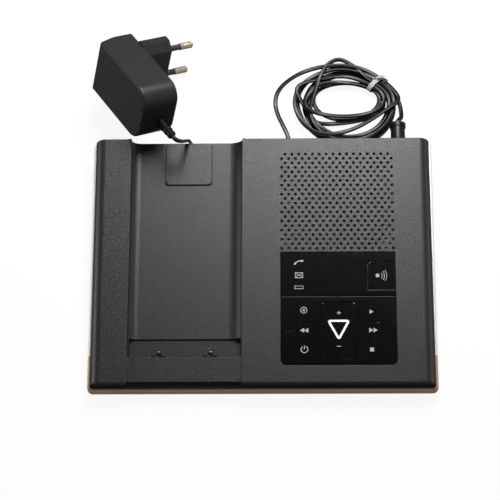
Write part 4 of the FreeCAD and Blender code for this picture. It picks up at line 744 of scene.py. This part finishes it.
# %% Draw on the adaptor
ADAPTOR_AT = Vector((-0.0739, 0.1209, 0.0245))
TO_LEAD = Vector((0.53592, -0.80297, 0.26084))
ACROSS_PINS = Vector((-0.21459, -0.42836, -0.87776))
FACE_OUT = -Vector((0.81654, 0.41443, -0.40187))
FACE_DEPTH = 0.0228
SUNK = 0.00002


def on_label_face(x, y, above=0.0):
    """A point of the label's face, in millimetres along the adaptor and across it."""
    return (ADAPTOR_AT + TO_LEAD * (x * 0.001) + ACROSS_PINS * (y * 0.001)
            + FACE_OUT * (FACE_DEPTH + above))


# %% [markdown]
# The ridge is a half round that rises from nothing at one end and sinks again at the other. Both
# it and the pips start a little inside the face, so that no gap shows under them.

# %% Ridge
def rounded_bar(name, points, width, height):
    """A bar with a rounded top along points of the label's face."""
    vertices, faces, last = [], [], len(points) - 1
    profile = [(math.cos(t), math.sin(t)) for t in (math.pi * k / 6 for k in range(7))]
    for i, (x, y) in enumerate(points):
        (x0, y0), (x1, y1) = points[max(i - 1, 0)], points[min(i + 1, last)]
        length = math.hypot(x1 - x0, y1 - y0)
        nx, ny = -(y1 - y0) / length, (x1 - x0) / length
        taper = math.sin(math.pi * min(1, 0.08 + i / last, 1.08 - i / last) / 2)
        low = len(vertices)
        for c, s in profile:
            vertices.append(on_label_face(x + nx * c * width / 2, y + ny * c * width / 2,
                                          height * s * min(1, 3 * taper) - SUNK))
        if i:
            faces += [(low - 7 + k, low + k, low + k + 1, low - 6 + k) for k in range(6)]
    bar = new_mesh_object(name, vertices, faces)
    bar.data.polygons.foreach_set("use_smooth", [True] * len(bar.data.polygons))
    dress(bar, adaptor_plastic)
    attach(bar, "base")


rounded_bar("adaptor_ridge", bow(9.2, -72, 62, 30, (35.6, -1.2)), 1.1, 0.0004)
print("ridge added")


# %% [markdown]
# The pips are domes of three rings, all in one mesh. They stand in four rows that get shorter
# towards the lead.

# %% Pips
def pip(mesh, x, y, radius, height):
    """Add a small dome to a mesh, on the label's face."""
    rings = []
    for share in (1.0, 0.85, 0.5):
        lift = height * math.sqrt(max(0.0, 1 - share**2)) - SUNK
        rings.append([mesh.verts.new(on_label_face(x + radius * share * math.cos(t),
                                                   y + radius * share * math.sin(t), lift))
                      for t in (2 * math.pi * k / 12 for k in range(12))])
    for outer, inner in zip(rings, rings[1:]):
        for k in range(12):
            mesh.faces.new((outer[k], outer[(k + 1) % 12], inner[(k + 1) % 12], inner[k]))
    mesh.faces.new(rings[-1])


mesh = bmesh.new()
for row, (start_y, count) in enumerate([(-1.8, 4), (-3.2, 3), (-2.4, 3), (-3.0, 2)]):
    for column in range(count):
        pip(mesh, 27.0 + 4.2 * row, start_y + 4.0 * column, 0.65, 0.00032)
bmesh.ops.recalc_face_normals(mesh, faces=mesh.faces)
data = bpy.data.meshes.new("adaptor_pips")
mesh.to_mesh(data)
mesh.free()
data.polygons.foreach_set("use_smooth", [True] * len(data.polygons))
pips = bpy.data.objects.new("adaptor_pips", data)
bpy.context.scene.collection.objects.link(pips)
dress(pips, adaptor_plastic)
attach(pips, "base")
print("adaptor marked")

# %% [markdown]
# ## The studio
#
# The photograph has a white ground with hardly a shadow. A white floor could be lit until it
# clips, but that would bleach the object too. Instead most of the floor's own material glows for
# camera rays, and the rest is an ordinary diffuse white that still takes the shadow. The glow is
# also there in reflections, but weaker, so that the black plastic isn't greyed by it.

# %% Floor
GLOW_SHARE = 0.90
GLOW_MIRRORED, GLOW_SEEN = 0.12, 1.0
floor = new_mesh_object("floor", [(-4, -4, 0), (4, -4, 0), (4, 4, 0), (-4, 4, 0)], [(0, 1, 2, 3)])
floor_white, tree, shader, where = finish("floor white", (0.80, 0.80, 0.80), 0.9)
path = tree.nodes.new("ShaderNodeLightPath")
glow = tree.nodes.new("ShaderNodeEmission")
shine = tree.nodes.new("ShaderNodeMix")
shine.inputs["A"].default_value = GLOW_MIRRORED
shine.inputs["B"].default_value = GLOW_SEEN
tree.links.new(path.outputs["Is Camera Ray"], shine.inputs["Factor"])
tree.links.new(shine.outputs["Result"], glow.inputs["Strength"])
seen = tree.nodes.new("ShaderNodeMath")
seen.operation = "MAXIMUM"
tree.links.new(path.outputs["Is Camera Ray"], seen.inputs[0])
tree.links.new(path.outputs["Is Glossy Ray"], seen.inputs[1])
part_of = tree.nodes.new("ShaderNodeMath")
part_of.operation = "MULTIPLY"
part_of.inputs[1].default_value = GLOW_SHARE
tree.links.new(seen.outputs[0], part_of.inputs[0])
blend = tree.nodes.new("ShaderNodeMixShader")
tree.links.new(part_of.outputs[0], blend.inputs[0])
tree.links.new(shader.outputs[0], blend.inputs[1])
tree.links.new(glow.outputs[0], blend.inputs[2])
tree.links.new(blend.outputs[0], tree.nodes["Material Output"].inputs["Surface"])
dress(floor, floor_white)
print("floor laid")

# %% [markdown]
# The light comes from soft panels. The main one hangs behind and above the object, so that its
# wide sheen lies on the back of the sloping top and fades towards the front, as in the
# photograph. Two weaker ones, low at the sides, brighten the silver case, and the world adds an
# even base.

# %% Lights
def panel_light(name, place, target, size, power):
    """A soft square light at a place, aimed at a target."""
    data = bpy.data.lights.new(name, "AREA")
    data.shape = "SQUARE"
    data.size = size
    data.energy = power
    lamp = bpy.data.objects.new(name, data)
    bpy.context.scene.collection.objects.link(lamp)
    aim = (Vector(target) - Vector(place)).to_track_quat("-Z", "Y")
    lamp.matrix_world = Matrix.Translation(place) @ aim.to_matrix().to_4x4()


panel_light("back light", (0.06, 0.335, 0.435), (0.03, 0.06, 0), 0.25, 3.9)
panel_light("left light", (-0.9, 0.2, 0.16), (0, 0, 0), 0.3, 1.7)
panel_light("right light", (0.9, 0.2, 0.16), (0, 0, 0), 0.3, 0.8)

print("lights hung")

# %% [markdown]
# The world has three strengths, chosen by the kind of ray. The camera sees it white. Diffuse
# light gets an even base. In reflections it is dim, and dimmer still straight overhead, which
# keeps the lower keys black while the window above them mirrors a little grey.

# %% World
SKY = (0.98, 0.98, 1.0, 1)
BASE_LIGHT, SEEN_WHITE = 0.34, 1.0
OVERHEAD = {"From Min": 0.962, "From Max": 0.985, "To Min": 0.27, "To Max": 0.04}

world = bpy.data.worlds.new("studio")
bpy.context.scene.world = world
world.use_nodes = True
tree = world.node_tree
background = tree.nodes["Background"]
background.inputs["Color"].default_value = SKY
path = tree.nodes.new("ShaderNodeLightPath")
direction = tree.nodes.new("ShaderNodeTexCoord")
parts = tree.nodes.new("ShaderNodeSeparateXYZ")
tree.links.new(direction.outputs["Generated"], parts.inputs[0])
overhead = tree.nodes.new("ShaderNodeMapRange")
for socket, value in OVERHEAD.items():
    overhead.inputs[socket].default_value = value
tree.links.new(parts.outputs["Z"], overhead.inputs["Value"])
reflected = tree.nodes.new("ShaderNodeMix")
reflected.inputs["A"].default_value = BASE_LIGHT
tree.links.new(path.outputs["Is Glossy Ray"], reflected.inputs["Factor"])
tree.links.new(overhead.outputs["Result"], reflected.inputs["B"])
direct = tree.nodes.new("ShaderNodeMix")
direct.inputs["B"].default_value = SEEN_WHITE
tree.links.new(path.outputs["Is Camera Ray"], direct.inputs["Factor"])
tree.links.new(reflected.outputs["Result"], direct.inputs["A"])
tree.links.new(direct.outputs["Result"], background.inputs["Strength"])
print("studio ready")
